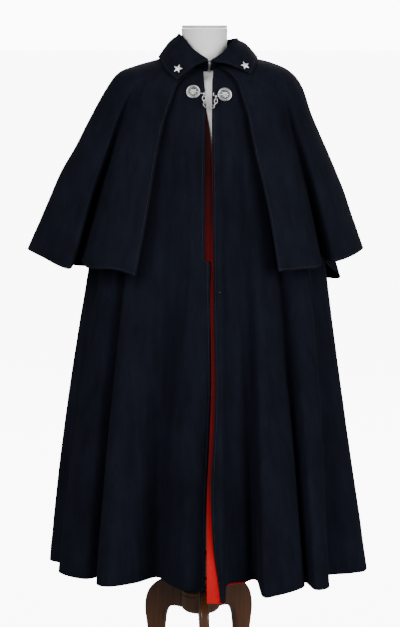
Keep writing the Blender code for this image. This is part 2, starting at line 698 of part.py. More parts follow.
def build_stand(wood):
    top = FORM_BASE_Z - GAP
    column = [(COLUMN_RADIUS, 0.3053), (COLUMN_RADIUS, 0.34), (0.019, 0.35), (0.019, 0.36)]
    column += [(COLUMN_RADIUS, 0.37), (COLUMN_RADIUS, 0.70), (0.032, 0.72), (0.040, top)]
    turned("stand_column", column, 16, wood, STAND_ASIDE)
    plate_top = PLATE_Z + 0.0080
    plate = [(HUB_RADIUS, PLATE_Z), (HUB_RADIUS, plate_top), (0.040, 0.284), (0.026, 0.292), (0.022, 0.305)]
    turned("stand_plate", plate, 24, wood, STAND_ASIDE)
    hub = [(0.018, HUB_BOTTOM_Z), (0.036, 0.2265), (HUB_RADIUS - 0.004, 0.232), (HUB_RADIUS, 0.240)]
    hub += [(HUB_RADIUS, PLATE_Z - GAP)]
    turned("stand_hub", hub, 24, wood, STAND_ASIDE)
    for name, angle in (("stand_leg_front", 0.0), ("stand_leg_left", 120.0), ("stand_leg_right", 240.0)):
        build_leg(name, math.radians(angle + LEG_TURN), wood)


def build_leg(name, angle, wood):
    """A shaped board with rounded edges, its inner end flat against the hub."""
    out = Vector((math.sin(angle), -math.cos(angle), 0.0))
    aside = Vector((math.cos(angle), math.sin(angle), 0.0))
    half = LEG_THICKNESS / 2
    shape = [(0.0, -0.6), (0.0, 0.6), (0.12, 1.0), (0.88, 1.0)]
    shape += [(1.0, 0.6), (1.0, -0.6), (0.88, -1.0), (0.12, -1.0)]
    rings = []
    for at in steps(0.0, len(LEG_ROWS) - 1.0, 15):
        row = spline(LEG_ROWS, at)
        ring = []
        for along, side in shape:
            radius = row.inner_r + (row.outer_r - row.inner_r) * along
            height = max(0.0, row.inner_z + (row.outer_z - row.inner_z) * along)
            ring.append(out * radius + aside * (side * half) + Vector((STAND_ASIDE, 0.0, height)))
        rings.append(ring)
    ring_solid(name, rings, wood)


def build_body(wool):
    for name, folds in (
        ("cloak_front_left", steps(0.0, SIDE_SEAM_LEFT, LEFT_FRONT_STEPS)),
        ("cloak_back_left", steps(SIDE_SEAM_LEFT, BACK_SEAM, 15)),
        ("cloak_back_right", steps(BACK_SEAM, SIDE_SEAM_RIGHT, 15)),
        ("cloak_front_right", steps(SIDE_SEAM_RIGHT, len(BODY_FOLDS) - 1.0, 28)),
    ):
        sheet(name, body_point, body_normal, folds, BODY_LEVELS, BODY_CLOTH, wool)


def build_cape(wool):
    levels = [0.0, 0.6, 1.3, 2.1, 3.0, 4.0, 5.2, 6.4, 7.7, 9.0]
    last = len(CAPE_FOLDS) - 1.0
    sheet("cape_left", cape_point, cape_normal, steps(0.0, CAPE_SEAM, 29), levels, CAPE_CLOTH, wool)
    sheet("cape_right", cape_point, cape_normal, steps(CAPE_SEAM, last, 32), levels, CAPE_CLOTH, wool)


def build_collar(wool):
    last = len(COLLAR_ROWS) - 1.0
    places = steps(0.0, last, 30)
    turns = [0.0, 1.0, 1.6, 2.0, 2.4, 3.0, 4.0, 5.0, 6.0]
    low = [0.0, 0.5, 1.0]
    sheet("collar_fall", collar_point, collar_normal, places, turns, COLLAR_CLOTH, wool)
    sheet("collar_stand", collar_stand_point, collar_stand_normal, places, low, -COLLAR_CLOTH, wool)


def facing_row(level, folds):
    """The facing's outer face at a level: a margin past the front's edge, then the front's own inner face."""
    section = spline(BODY_SECTIONS, min(level, WAIST))
    edge = spline(FRONT_EDGES, max(0.0, level - WAIST) * (len(FRONT_EDGES) - 1))
    margin = FACING_MARGIN if level < WAIST else edge.left_edge - edge.facing_edge
    margin = 0.0010 + (margin - 0.0010) * ease((level - 5.6) / 0.9)
    back = BODY_CLOTH + GAP + 0.0001
    points = []
    normals = []
    for fold in [0.0, 0.0] + folds:
        normal = body_normal(fold, level)
        point = body_point(fold, level) - normal * back
        if level > WAIST + 0.99:
            point += (body_point(fold, level) - body_point(fold, level - 0.02)).normalized() * FACING_DROP
        points.append(point)
        normals.append(normal)
    for place, part in enumerate((1.0, 0.5)):
        points[place] += Vector((-margin * part, 0.0, 0.0)) - normals[place] * 0.0015
    return points, normals


def build_facing(cloth):
    folds = steps(0.0, SIDE_SEAM_LEFT, LEFT_FRONT_STEPS)[:FACING_COLUMNS]
    outer = []
    inner = []
    for level in BODY_LEVELS[1:]:
        points, normals = facing_row(level, folds)
        outer.append(points)
        inner.append([p - n * FACING_CLOTH for p, n in zip(points, normals)])
    wall("front_facing", outer, inner, cloth)


def guard_point(across, down):
    """The upper lining behind the front gap, from its pointed top at 0 to its square lower end at 1."""
    row = spline(LINING_ROWS, down * (len(LINING_ROWS) - 1))
    level = 3.0
    for _ in range(40):
        level += (spline(BODY_SECTIONS, level).z_front - row.z) * 8.0
    section = spline(BODY_SECTIONS, level)
    x = -0.020 + (row.far_edge + 0.020) * across
    grown = ease((level - 2.0) / (WAIST - 2.0))
    deeper = 0.0034 * ease((x + 0.010) / 0.0125) + 0.0011 * ease(1 - down / 0.25)
    return ring_point(section, edge_angle(section, x), 0.0050 * grown - 0.0031 - deeper)


def build_guard(cloth):
    outer = []
    inner = []
    for down in steps(0.0, 1.0, len(LINING_ROWS) - 1):
        row = [guard_point(across, down) for across in steps(0.0, 1.0, 5)]
        outer.append(row)
        inner.append([p + Vector((0.0, FACING_CLOTH, 0.0)) for p in row])
    wall("upper_lining", outer, inner, cloth)


def chain_ends():
    """Where the hook and the eye hold the chain, clear of the cloth behind it."""
    lowest = body_point(*found(body_point, 0.0200, 1.3880, 0.2, 2.9))
    out_to = lowest.y - LINK_WIDTH / 2 - 0.0012
    return Vector((-0.0015, out_to, 1.4235)), Vector((0.0245, out_to, 1.4175))


def arm_path(face, eye, way):
    """The middle line of a clasp arm, from a boss's face to its curled end in the chain."""
    curl = [(-0.0045, 0.0), (0.0, 0.0), (0.0042, 0.0010)]
    curl += [(0.0058, 0.0034), (0.0048, 0.0062), (0.0020, 0.0072)]
    path = [face, face.lerp(eye, 0.5)]
    return path + [eye + Vector((way * x, 0.0, z)) for x, z in curl]


def link_places(start, end):
    """Nine links in a loop that hangs from the hook to the eye, every second one turned a quarter."""
    count = 9
    hang = LINK_LENGTH / 2 - 3 * WIRE - GAP
    half = (end.x - start.x) / 2
    total = LINK_PITCH * (count - 1)
    bend = math.pi * half
    straight = (total - bend + start.z - end.z) / 2
    top = start.z - hang
    places = []
    for i in range(count):
        run = LINK_PITCH * i
        if run < straight:
            spot = Vector((start.x, start.y, top - run))
            turn = 0.0
        elif run > straight + bend:
            spot = Vector((end.x, end.y, end.z - hang - (total - run)))
            turn = math.pi
        else:
            turn = (run - straight) / half
            drop = straight + half * math.sin(turn)
            spot = Vector((start.x + half - half * math.cos(turn), start.y, top - drop))
        along = Vector((math.sin(turn), 0.0, -math.cos(turn)))
        aside = Vector((0.0, 1.0, 0.0)) if i % 2 == 0 else Vector((along.z, 0.0, -along.x))
        places.append((spot, along, aside))
    return places


def build_clasp(silver):
    """Two round bosses, a hook arm and an eye arm on them, and the links that hang between."""
    profile = [(0.0148, 0.0), (BOSS_RADIUS, 0.0010), (0.0150, 0.0030), (0.0125, 0.0040), (0.0112, 0.0034)]
    profile += [(0.0070, 0.0052), (0.0020, BOSS_HEIGHT)]
    faces = []
    last = len(BODY_FOLDS) - 1.0
    for name, (x, z), guess in (("boss_left", BOSS_LEFT, 2.0), ("boss_right", BOSS_RIGHT, last - 1.5)):
        fold, level = found(body_point, x, z, guess, 2.2)
        out = body_normal(fold, level)
        centre = body_point(fold, level) + out * 0.0006
        dome(name, centre, out, profile, 20, silver)
        faces.append(centre + out * (BOSS_HEIGHT + WIRE + GAP))
    start, end = chain_ends()
    for name, face, eye, way in (("clasp_hook", faces[1], start, 1), ("clasp_eye", faces[0], end, -1)):
        open_tube(name, arm_path(face, eye, way), WIRE, 8, silver)
    for i, (spot, along, aside) in enumerate(link_places(start, end)):
        closed_tube(f"chain_link_{i + 1}", link_path(spot, along, aside), WIRE, 6, silver)


def link_path(centre, along, aside):
    """The middle line of a long round-ended link."""
    bend = LINK_WIDTH / 2 - WIRE
    side = LINK_LENGTH / 2 - WIRE - bend
    path = []
    for end in (1, -1):
        for step in range(5):
            a = math.pi * step / 4
            spot = centre + along * (end * (side + bend * math.sin(a)))
            path.append(spot + aside * (end * bend * math.cos(a)))
    return path


def build_trim(silver, dark):
    last = len(COLLAR_ROWS) - 1.0
    for name, x, z, guess, tilt in (
        ("collar_star_right", -0.0582, 1.4755, 1.3, 14.0),
        ("collar_star_left", 0.0886, 1.4820, last - 1.6, -12.0),
    ):
        place, turn = found(collar_point, x, z, guess, 4.6)
        out = collar_normal(place, turn)
        star(name, collar_point(place, turn) + out * 0.0009, out, tilt, silver)
    fold, level = found(body_point, 0.0322, 0.9966, 1.5, 7.05)
    out = body_normal(fold, level)
    stud = [(STUD_RADIUS * 0.9, 0.0), (STUD_RADIUS, 0.0005), (STUD_RADIUS * 0.5, 0.0013)]
    dome("front_stud", body_point(fold, level) + out * 0.0004, out, stud, 10, silver)
    hook = [(0.0085, 1.4890), (0.0090, 1.4915), (0.0112, 1.4930), (0.0134, 1.4912), (0.0139, 1.4885)]
    open_tube("collar_hook", [Vector((x, -0.0790, z)) for x, z in hook], 0.0008, 6, dark)


def main():
    for old in list(bpy.data.objects):
        bpy.data.objects.remove(old, do_unlink=True)
    wool = material("navy_wool", (0.010, 0.013, 0.024), 0.0, 0.85)
    red = material("red_facing_cloth", (0.55, 0.02, 0.015), 0.0, 0.75)
    silver = material("silver_metal", (0.70, 0.71, 0.72), 1.0, 0.25)
    dark = material("dark_metal", (0.05, 0.05, 0.055), 1.0, 0.40)
    linen = material("grey_form_cloth", (0.58, 0.56, 0.55), 0.0, 0.80)
    wood = material("dark_wood", (0.045, 0.022, 0.012), 0.0, 0.30)
    build_form(linen)
    build_stand(wood)
    build_body(wool)
    build_cape(wool)
    COLLAR_EDGES.extend(collar_edges())
    build_collar(wool)
    build_facing(red)
    build_guard(red)
    build_clasp(silver)
    build_trim(silver, dark)


main()
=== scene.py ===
"""The looks of a long wool cloak with a shoulder cape, on a dress form with a three-legged stand.

Metres, +Z up, the front towards -Y. The cloth follows the tables below. Angles are in degrees from the front and
grow towards +X, the wearer's left. The tables' places are from the form's axis.
"""

import math
from collections import namedtuple

import bmesh
import bpy
import numpy as np
from mathutils import Matrix, Vector, noise


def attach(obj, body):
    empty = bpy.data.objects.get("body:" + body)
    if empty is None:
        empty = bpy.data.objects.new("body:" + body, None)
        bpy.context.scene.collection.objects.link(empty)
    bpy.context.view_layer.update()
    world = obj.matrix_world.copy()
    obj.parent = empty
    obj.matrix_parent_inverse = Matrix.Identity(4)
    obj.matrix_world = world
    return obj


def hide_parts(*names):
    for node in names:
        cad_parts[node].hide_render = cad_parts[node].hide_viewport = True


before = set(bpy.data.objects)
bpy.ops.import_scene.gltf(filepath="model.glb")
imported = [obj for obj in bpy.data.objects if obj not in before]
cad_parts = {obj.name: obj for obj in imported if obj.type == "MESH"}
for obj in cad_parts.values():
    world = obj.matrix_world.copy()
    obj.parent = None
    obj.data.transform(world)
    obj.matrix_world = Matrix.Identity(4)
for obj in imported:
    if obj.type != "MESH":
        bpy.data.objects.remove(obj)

bl_info = {
    "name": "Cloak on a dress form",
    "version": (1, 0, 0),
    "blender": (4, 5, 0),
    "location": "3D View > Sidebar > Cloak",
    "description": "Dresses a form in a wool cloak with a shoulder cape",
    "category": "Add Mesh",
}

BODY = "root"

# Where the form's axis stands, so that the origin is under the middle of the whole
AXIS_X = 0.0185
AXIS_Y = 0.022

# Cloth
BODY_CLOTH = 0.0025
COLLAR_CLOTH = 0.002
FACING_CLOTH = 0.0012
GAP = 0.0003
HEM_Z = 0.367
BODY_BOW_RIGHT = 0.008
BODY_BOW_LEFT = 0.0
LEFT_FRONT_STEPS = 32
FACING_COLUMNS = 11
FACING_DROP = 0.003
FACING_MARGIN = 0.0058
FACING_MARGIN_LEAST = 0.001
LINING_NEAR_EDGE = -0.02
EDGE_STEP = 0.0106
EDGE_STEP_LEVEL = 6.56

# Clasp
BOSS_HEIGHT = 0.0065
BOSS_LEFT = (0.0442, 1.42)
BOSS_RIGHT = (-0.0246, 1.426)
WIRE = 0.0009
LINK_LENGTH = 0.0124
LINK_WIDTH = 0.008
LINK_PITCH = LINK_LENGTH - 4 * WIRE - 3 * GAP
LINK_COUNT = 9

# The x and z of the chain's two ends and of the cloth behind its lowest part
HOOK_END = (-0.0015, 1.4235)
EYE_END = (0.0245, 1.4175)
CHAIN_LOWEST = (0.02, 1.388)

# Stars
STAR_RADIUS = 0.0108
STAR_WAIST = 0.42
STAR_HEIGHT = 0.0028
STAR_PLATE = 0.0009
STAR_RIM_Z = 0.0006
STAR_BEVEL = 0.00025

# How far boss, star and stud stand off the cloth, and stitches out of it
BOSS_SEAT = 0.0006
STAR_SEAT = 0.0009
STUD_SEAT = 0.0004
STITCH_LIFT = 0.00005

# Dress form and stand
NECK_TOP_Z = 1.57
CAP_HEIGHT = 0.0062
FORM_BASE_Z = 0.75
COLUMN_RADIUS = 0.015
HUB_RADIUS = 0.0463
HUB_BOTTOM_Z = 0.224
PLATE_Z = 0.268
LEG_THICKNESS = 0.022
LEG_TURN = 4.0
STAND_ASIDE = -0.0087

Section = namedtuple(
    "Section", "left right front back z_front z_left z_right z_back right_edge left_edge", defaults=(0.0, 0.0)
)

# Body of the cloak from the neckline to the level of the cape's hem, with the x of each front edge
BODY_SECTIONS = [Section(*row) for row in (
    (0.064, 0.066, 0.068, 0.07, 1.474, 1.508, 1.508, 1.508, -0.0027, 0.019),
    (0.1, 0.104, 0.089, 0.088, 1.456, 1.487, 1.489, 1.492, -0.0015, 0.018),
    (0.148, 0.148, 0.108, 0.101, 1.426, 1.472, 1.477, 1.468, 0.001, 0.0172),
    (0.184, 0.183, 0.121, 0.113, 1.386, 1.452, 1.452, 1.43, 0.002, 0.0168),
    (0.204, 0.202, 0.134, 0.126, 1.328, 1.393, 1.394, 1.364, 0.0015, 0.0166),
    (0.221, 0.222, 0.15, 0.144, 1.243, 1.285, 1.285, 1.265, 0.0002, 0.017),
    (0.24, 0.248, 0.169, 0.165, 1.133, 1.15, 1.15, 1.14, 0.0, 0.0173),
    (0.26, 0.27, 0.187, 0.186, 1.02, 1.02, 1.02, 1.02, 0.0005, 0.019),
)]
WAIST = len(BODY_SECTIONS) - 1

Edge = namedtuple("Edge", "z right_edge left_edge facing_edge")

# The x of the front edges below that level: wearer's right, wearer's left, and the facing that shows past it
FRONT_EDGES = [Edge(*row) for row in (
    (1.02, 0.0111, 0.019, 0.0112),
    (0.91, 0.013, 0.0205, 0.0132),
    (0.8, 0.0138, 0.0225, 0.014),
    (0.69, 0.0096, 0.019, 0.0098),
    (0.58, 0.004, 0.0135, 0.0045),
    (0.47, 0.0018, 0.018, 0.0038),
    (0.367, 0.0007, 0.033, 0.0037),
)]

LiningRow = namedtuple("LiningRow", "z far_edge")

# The x of the upper lining's edge towards the wearer's left, from its top to its square lower end
LINING_ROWS = [LiningRow(*row) for row in (
    (1.412, 0.0005),
    (1.37, 0.0074),
    (1.33, 0.0124),
    (1.28, 0.015),
    (1.225, 0.019),
    (1.17, 0.029),
    (1.12, 0.03),
    (1.061, 0.03),
)]

Fold = namedtuple("Fold", "waist_angle waist_out hem_angle hem_radius hem_drop", defaults=(0.0,))

# The body's folds all round, from the wearer's left front edge by the back to the right front edge
LEFT_FRONT_FOLDS = [Fold(*row) for row in (
    (5.5, 0.006, 4.8, 0.385, 0.01),
    (10.5, 0.008, 6.4, 0.387, 0.01),
    (15.0, -0.002, 8.6, 0.334, -0.012),
    (21.0, -0.004, 15.8, 0.322, -0.015),
    (27.0, -0.008, 20.6, 0.314, -0.015),
    (32.0, 0.008, 18.4, 0.39, 0.002),
    (39.0, 0.006, 24.0, 0.393, 0.002),
    (46.5, 0.0, 34.6, 0.374),
    (52.0, -0.02, 39.4, 0.346),
    (55.0, 0.008, 36.2, 0.402),
    (64.0, 0.012, 41.5, 0.407),
    (72.0, -0.006, 51.0, 0.342),
    (81.0, 0.006, 60.0, 0.382),
    (92.0, 0.004, 66.0, 0.396),
    (102.0, -0.004, 84.0, 0.356),
)]
BACK_FOLDS = [Fold(*row) for row in (
    (112.0, 0.006, 100.0, 0.364),
    (122.0, -0.012, 113.0, 0.303),
    (134.0, 0.008, 126.0, 0.362),
    (146.0, -0.01, 140.0, 0.293),
    (158.0, 0.008, 153.0, 0.358),
    (169.0, -0.009, 167.0, 0.288),
    (181.0, 0.006, 181.0, 0.346),
    (193.0, -0.009, 194.0, 0.286),
    (204.0, 0.008, 207.0, 0.356),
    (216.0, -0.01, 221.0, 0.29),
    (228.0, 0.008, 235.0, 0.36),
    (239.0, -0.012, 248.0, 0.302),
)]
RIGHT_FRONT_FOLDS = [Fold(*row) for row in (
    (250.0, 0.006, 261.0, 0.356),
    (264.0, 0.002, 276.0, 0.35),
    (276.0, 0.004, 283.5, 0.36),
    (285.0, -0.008, 291.5, 0.333),
    (292.0, 0.004, 299.6, 0.373),
    (301.0, 0.004, 312.5, 0.356),
    (306.0, -0.022, 313.8, 0.306),
    (310.0, 0.006, 319.5, 0.364),
    (317.0, 0.008, 325.5, 0.366),
    (325.0, -0.002, 331.0, 0.31),
    (333.0, -0.008, 335.5, 0.248),
    (343.0, 0.0, 348.5, 0.314),
    (351.0, 0.005, 353.5, 0.337),
    (362.0, 0.006, 360.1, 0.336),
)]
BODY_FOLDS = LEFT_FRONT_FOLDS + BACK_FOLDS + RIGHT_FRONT_FOLDS
SIDE_SEAM_LEFT = 14.0
BACK_SEAM = 21.0
SIDE_SEAM_RIGHT = 28.0

# Shoulder cape from the neckline to its hem, with the x of each front edge
CAPE_SECTIONS = [Section(*row) for row in (
    (0.0655, 0.0676, 0.0701, 0.0717, 1.4767, 1.5108, 1.5108, 1.5108, -0.022, 0.028),
    (0.103, 0.108, 0.095, 0.094, 1.462, 1.4955, 1.499, 1.497, -0.034, 0.048),
    (0.15, 0.15, 0.115, 0.108, 1.433, 1.4825, 1.4885, 1.474, -0.058, 0.068),
    (0.193, 0.192, 0.13, 0.122, 1.392, 1.464, 1.4675, 1.437, -0.071, 0.081),
    (0.225, 0.219, 0.145, 0.137, 1.335, 1.421, 1.432, 1.38, -0.088, 0.095),
    (0.257, 0.243, 0.158, 0.153, 1.275, 1.364, 1.364, 1.31, -0.101, 0.107),
    (0.29, 0.276, 0.172, 0.172, 1.21, 1.299, 1.288, 1.235, -0.112, 0.123),
    (0.325, 0.308, 0.184, 0.192, 1.148, 1.237, 1.212, 1.16, -0.122, 0.137),
    (0.362, 0.333, 0.195, 0.207, 1.083, 1.153, 1.14, 1.08, -0.135, 0.149),
    (0.399, 0.358, 0.205, 0.22, 1.016, 1.069, 1.071, 0.995, -0.149, 0.159),
)]
CAPE_HEM = len(CAPE_SECTIONS) - 1
CAPE_FOLDS_START = 2.2

CapeFold = namedtuple("CapeFold", "top_angle hem_angle hem_radius hem_z")

# The cape's folds, from its left front edge by the back to its right front edge
CAPE_FOLDS = [CapeFold(*row) for row in (
    (28.0, 38.5, 0.256, 1.042),
    (40.0, 50.0, 0.278, 1.044),
    (51.0, 58.5, 0.296, 1.046),
    (60.0, 74.0, 0.27, 1.06),
    (69.0, 67.5, 0.314, 1.0545),
    (86.0, 88.5, 0.359, 1.071),
    (99.0, 100.0, 0.348, 1.056),
    (108.0, 109.0, 0.298, 1.03),
    (119.0, 114.5, 0.35, 0.986),
    (131.0, 128.0, 0.33, 0.983),
    (143.0, 141.0, 0.256, 1.0),
    (155.0, 153.0, 0.282, 0.995),
    (167.0, 167.0, 0.216, 1.005),
    (180.0, 180.0, 0.25, 1.0),
    (193.0, 193.0, 0.216, 1.005),
    (205.0, 207.0, 0.286, 0.998),
    (217.0, 219.0, 0.26, 1.005),
    (229.0, 232.0, 0.34, 1.005),
    (242.0, 246.0, 0.356, 1.02),
    (252.0, 251.0, 0.318, 1.04),
    (262.0, 261.0, 0.392, 1.06),
    (273.0, 270.5, 0.3995, 1.069),
    (288.0, 282.5, 0.37, 1.06),
    (299.0, 296.5, 0.33, 1.041),
    (305.5, 284.5, 0.288, 1.067),
    (312.0, 301.0, 0.3, 1.045),
    (322.0, 312.5, 0.27, 1.044),
    (335.0, 323.3, 0.25, 1.032),
)]
CAPE_SEAM = 13.0

CollarRow = namedtuple("CollarRow", "fold_x fold_y fold_z edge_x edge_y")

# The collar's fold line and outer edge, from the wearer's right end by the back to the left end
COLLAR_ROWS = [CollarRow(*row) for row in (
    (0.0072, -0.0802, 1.4975, -0.06, -0.103),
    (-0.011, -0.074, 1.509, -0.0705, -0.095),
    (-0.028, -0.064, 1.522, -0.0815, -0.084),
    (-0.0455, -0.044, 1.5425, -0.0945, -0.051),
    (-0.057, -0.01, 1.5525, -0.1015, 0.0),
    (-0.054, 0.033, 1.5465, -0.097, 0.054),
    (-0.031, 0.066, 1.538, -0.061, 0.093),
    (0.005, 0.078, 1.5345, 0.005, 0.106),
    (0.042, 0.066, 1.537, 0.075, 0.093),
    (0.067, 0.033, 1.541, 0.111, 0.054),
    (0.0725, -0.01, 1.542, 0.117, 0.0),
    (0.061, -0.044, 1.532, 0.116, -0.04),
    (0.045, -0.064, 1.516, 0.111, -0.068),
    (0.031, -0.074, 1.505, 0.106, -0.08),
    (0.0152, -0.0802, 1.496, 0.101, -0.089),
)]
COLLAR_ROLL = 0.003
COLLAR_TURN = 0.011
COLLAR_DIP = 0.0035
COLLAR_BULGE = 0.003
COLLAR_LIFT = 0.0026
COLLAR_STAND_DROP = 0.0012
STAND_BASE = Section(0.062, 0.06, 0.0622, 0.066, 1.469, 1.5125, 1.5125, 1.5135)
STAND_BASE_X = 0.003

# The collar's outer edge where it lies on the cape, filled in by the collar's operator
COLLAR_EDGES = []

# The dress form from the top of its neck to its base
FORM_SECTIONS = [Section(*row) for row in (
    (0.0512, 0.0512, 0.051, 0.053, 1.5635, 1.5635, 1.5635, 1.5635),
    (0.0506, 0.0506, 0.0505, 0.0525, 1.54, 1.54, 1.54, 1.54),
    (0.0508, 0.0508, 0.0525, 0.056, 1.486, 1.508, 1.508, 1.502),
    (0.062, 0.062, 0.059, 0.064, 1.461, 1.493, 1.493, 1.489),
    (0.096, 0.098, 0.0835, 0.083, 1.446, 1.481, 1.483, 1.484),
    (0.142, 0.142, 0.1012, 0.095, 1.419, 1.466, 1.47, 1.461),
    (0.177, 0.176, 0.1122, 0.106, 1.383, 1.445, 1.445, 1.426),
    (0.187, 0.186, 0.122, 0.113, 1.32, 1.382, 1.382, 1.36),
    (0.174, 0.174, 0.124, 0.113, 1.22, 1.25, 1.25, 1.23),
    (0.142, 0.142, 0.105, 0.096, 1.06, 1.06, 1.06, 1.06),
    (0.16, 0.16, 0.112, 0.116, 0.92, 0.92, 0.92, 0.92),
    (0.17, 0.17, 0.116, 0.124, 0.82, 0.82, 0.82, 0.82),
    (0.164, 0.164, 0.112, 0.12, 0.75, 0.75, 0.75, 0.75),
)]

LegRow = namedtuple("LegRow", "inner_r inner_z outer_r outer_z")

# A leg's two outlines, from the hub to the floor, by distance from the axis
LEG_ROWS = [LegRow(*row) for row in (
    (0.0466, 0.228, 0.0466, 0.285),
    (0.064, 0.229, 0.07, 0.296),
    (0.08, 0.224, 0.104, 0.288),
    (0.089, 0.208, 0.133, 0.26),
    (0.093, 0.182, 0.142, 0.22),
    (0.096, 0.148, 0.136, 0.168),
    (0.103, 0.108, 0.134, 0.124),
    (0.122, 0.062, 0.148, 0.083),
    (0.16, 0.026, 0.176, 0.054),
    (0.2, 0.006, 0.21, 0.04),
    (0.228, 0.0, 0.238, 0.036),
    (0.268, 0.0, 0.27, 0.024),
)]


def spline(rows, at):
    """A smooth row between the rows of a table, at a place counted in rows."""
    last = len(rows) - 1
    index = max(0, min(int(at), last - 1))
    t = at - index
    before = rows[max(index - 1, 0)]
    start = rows[index]
    end = rows[index + 1]
    after = rows[min(index + 2, last)]
    values = []
    for a, b, c, d in zip(before, start, end, after):
        slope_b = 0.5 * (c - a)
        slope_c = 0.5 * (d - b)
        cubic = 2 * b - 2 * c + slope_b + slope_c
        square = 3 * c - 3 * b - 2 * slope_b - slope_c
        values.append(((cubic * t + square) * t + slope_b) * t + b)
    return type(start)(*values) if hasattr(start, "_fields") else values


def ease(t):
    """From 0 to 1, level at both ends."""
    t = max(0.0, min(1.0, t))
    return t * t * (3 - 2 * t)


def ring_point(section, angle, out=0.0):
    """The point of a section at an angle in degrees, moved out from the axis by a distance."""
    across = math.sin(math.radians(angle))
    ahead = math.cos(math.radians(angle))
    width = section.right if across > 0 else section.left
    depth = section.front if ahead > 0 else section.back
    radius = out + 1.0 / math.hypot(across / width, ahead / depth)
    z_side = section.z_right if across > 0 else section.z_left
    z_end = section.z_front if ahead > 0 else section.z_back
    return Vector((radius * across, -radius * ahead, z_side + (z_end - z_side) * ahead * ahead))


def edge_angle(section, x):
    """The angle in degrees at which a section's front half has this x."""
    width = section.right if x > 0 else section.left
    return math.degrees(math.atan2(x, section.front * math.sqrt(1 - (x / width) ** 2)))


def fitted_angle(angle, first, last, section, reach):
    """An angle moved so that the first and last ones land on the section's front edges."""
    start = edge_angle(section, section.left_edge)
    end = 360.0 + edge_angle(section, section.right_edge)
    near_start = ease(1 - (angle - first) / reach)
    near_end = ease(1 - (last - angle) / reach)
    return angle + (start - first) * near_start + (end - last) * near_end


def body_point(fold, level):
    """The body's outer face: fold counts rows of BODY_FOLDS, level its sections and one more to the hem."""
    row = spline(BODY_FOLDS, fold)
    first = BODY_FOLDS[0].waist_angle
    last = BODY_FOLDS[-1].waist_angle
    section = spline(BODY_SECTIONS, min(level, WAIST))
    angle = fitted_angle(row.waist_angle, first, last, section, 60.0)
    angle += edge_step(fold, min(level, WAIST), section)
    grown = ease((min(level, WAIST) - 2.0) / (WAIST - 2.0))
    top = ring_point(section, angle, row.waist_out * grown)
    if level <= WAIST:
        return top
    down = level - WAIST
    turn = math.radians(row.hem_angle)
    bow = bow_at(turn, down)
    hem = Vector((row.hem_radius * math.sin(turn), -row.hem_radius * math.cos(turn), HEM_Z - row.hem_drop))
    point = top.lerp(hem, down)
    point.x += bow * math.sin(turn)
    point.y -= bow * math.cos(turn)
    return moved_to_edges(point, fold, down)


def bow_at(turn, down):
    """How far the body swings out between its waist and its hem, more on the wearer's right."""
    middle = (BODY_BOW_LEFT + BODY_BOW_RIGHT) / 2
    return (middle + (BODY_BOW_LEFT - middle) * math.sin(turn)) * math.sin(math.pi * down)


def moved_to_edges(point, fold, down):
    """A point of the body below the waist, moved across so that the front edges follow their table."""
    edge = spline(FRONT_EDGES, down * (len(FRONT_EDGES) - 1))
    count = len(BODY_FOLDS) - 1
    for end, wanted, reach in ((0, edge.left_edge, 1.6), (count, edge.right_edge, 2.5)):
        near = ease(1 - abs(fold - end) / reach)
        if near > 0:
            point.x += near * (wanted - straight_edge_x(end, down))
    return point


def straight_edge_x(end, down):
    """The x at which a front edge would hang, were it straight."""
    row = BODY_FOLDS[end]
    section = BODY_SECTIONS[WAIST]
    wanted = section.left_edge if end == 0 else section.right_edge
    angle = edge_angle(section, wanted) + edge_step(end, WAIST, section)
    top = ring_point(section, angle, row.waist_out)
    turn = math.radians(row.hem_angle)
    bow = bow_at(turn, down)
    return top.x + (row.hem_radius * math.sin(turn) - top.x) * down + bow * math.sin(turn)


def cape_point(fold, level):
    """The cape's outer face: fold counts the rows of CAPE_FOLDS, level those of its sections."""
    row = spline(CAPE_FOLDS, fold)
    first = CAPE_FOLDS[0].top_angle
    last = CAPE_FOLDS[-1].top_angle
    section = spline(CAPE_SECTIONS, level)
    point = ring_point(section, fitted_angle(row.top_angle, first, last, section, 70.0))
    grown = max(0.0, (level - CAPE_FOLDS_START) / (CAPE_HEM - CAPE_FOLDS_START)) ** 1.25
    if grown > 0:
        hem_section = CAPE_SECTIONS[CAPE_HEM]
        plain = ring_point(hem_section, fitted_angle(row.top_angle, first, last, hem_section, 70.0))
        turn = math.radians(row.hem_angle)
        point.x += grown * (row.hem_radius * math.sin(turn) - plain.x)
        point.y += grown * (-row.hem_radius * math.cos(turn) - plain.y)
        point.z += grown * (row.hem_z - plain.z)
    return point


def cape_place(x, y, fold, level):
    """The place on the cape over this x and y, sought from a first guess."""
    step = 0.002
    for _ in range(40):
        here = cape_point(fold, level)
        by_fold = (cape_point(fold + step, level) - here) / step
        by_level = (cape_point(fold, level + step) - here) / step
        area = by_fold.x * by_level.y - by_level.x * by_fold.y
        fold += 0.5 * ((x - here.x) * by_level.y - by_level.x * (y - here.y)) / area
        level += 0.5 * (by_fold.x * (y - here.y) - (x - here.x) * by_fold.y) / area
        fold = max(0.0, min(len(CAPE_FOLDS) - 1.01, fold))
        level = max(0.1, min(3.0, level))
    return fold, level


def collar_edges():
    """The collar's outer edge, laid on the cape."""
    edges = []
    for row in COLLAR_ROWS:
        angle = math.degrees(math.atan2(row.edge_x, -row.edge_y)) % 360.0
        near = [abs(fold.top_angle - angle) for fold in CAPE_FOLDS]
        fold, level = cape_place(row.edge_x, row.edge_y, float(near.index(min(near))), 1.0)
        lift = COLLAR_CLOTH + COLLAR_LIFT
        edges.append(cape_point(fold, level) + cape_normal(fold, level) * lift)
    return [list(edge) for edge in edges]


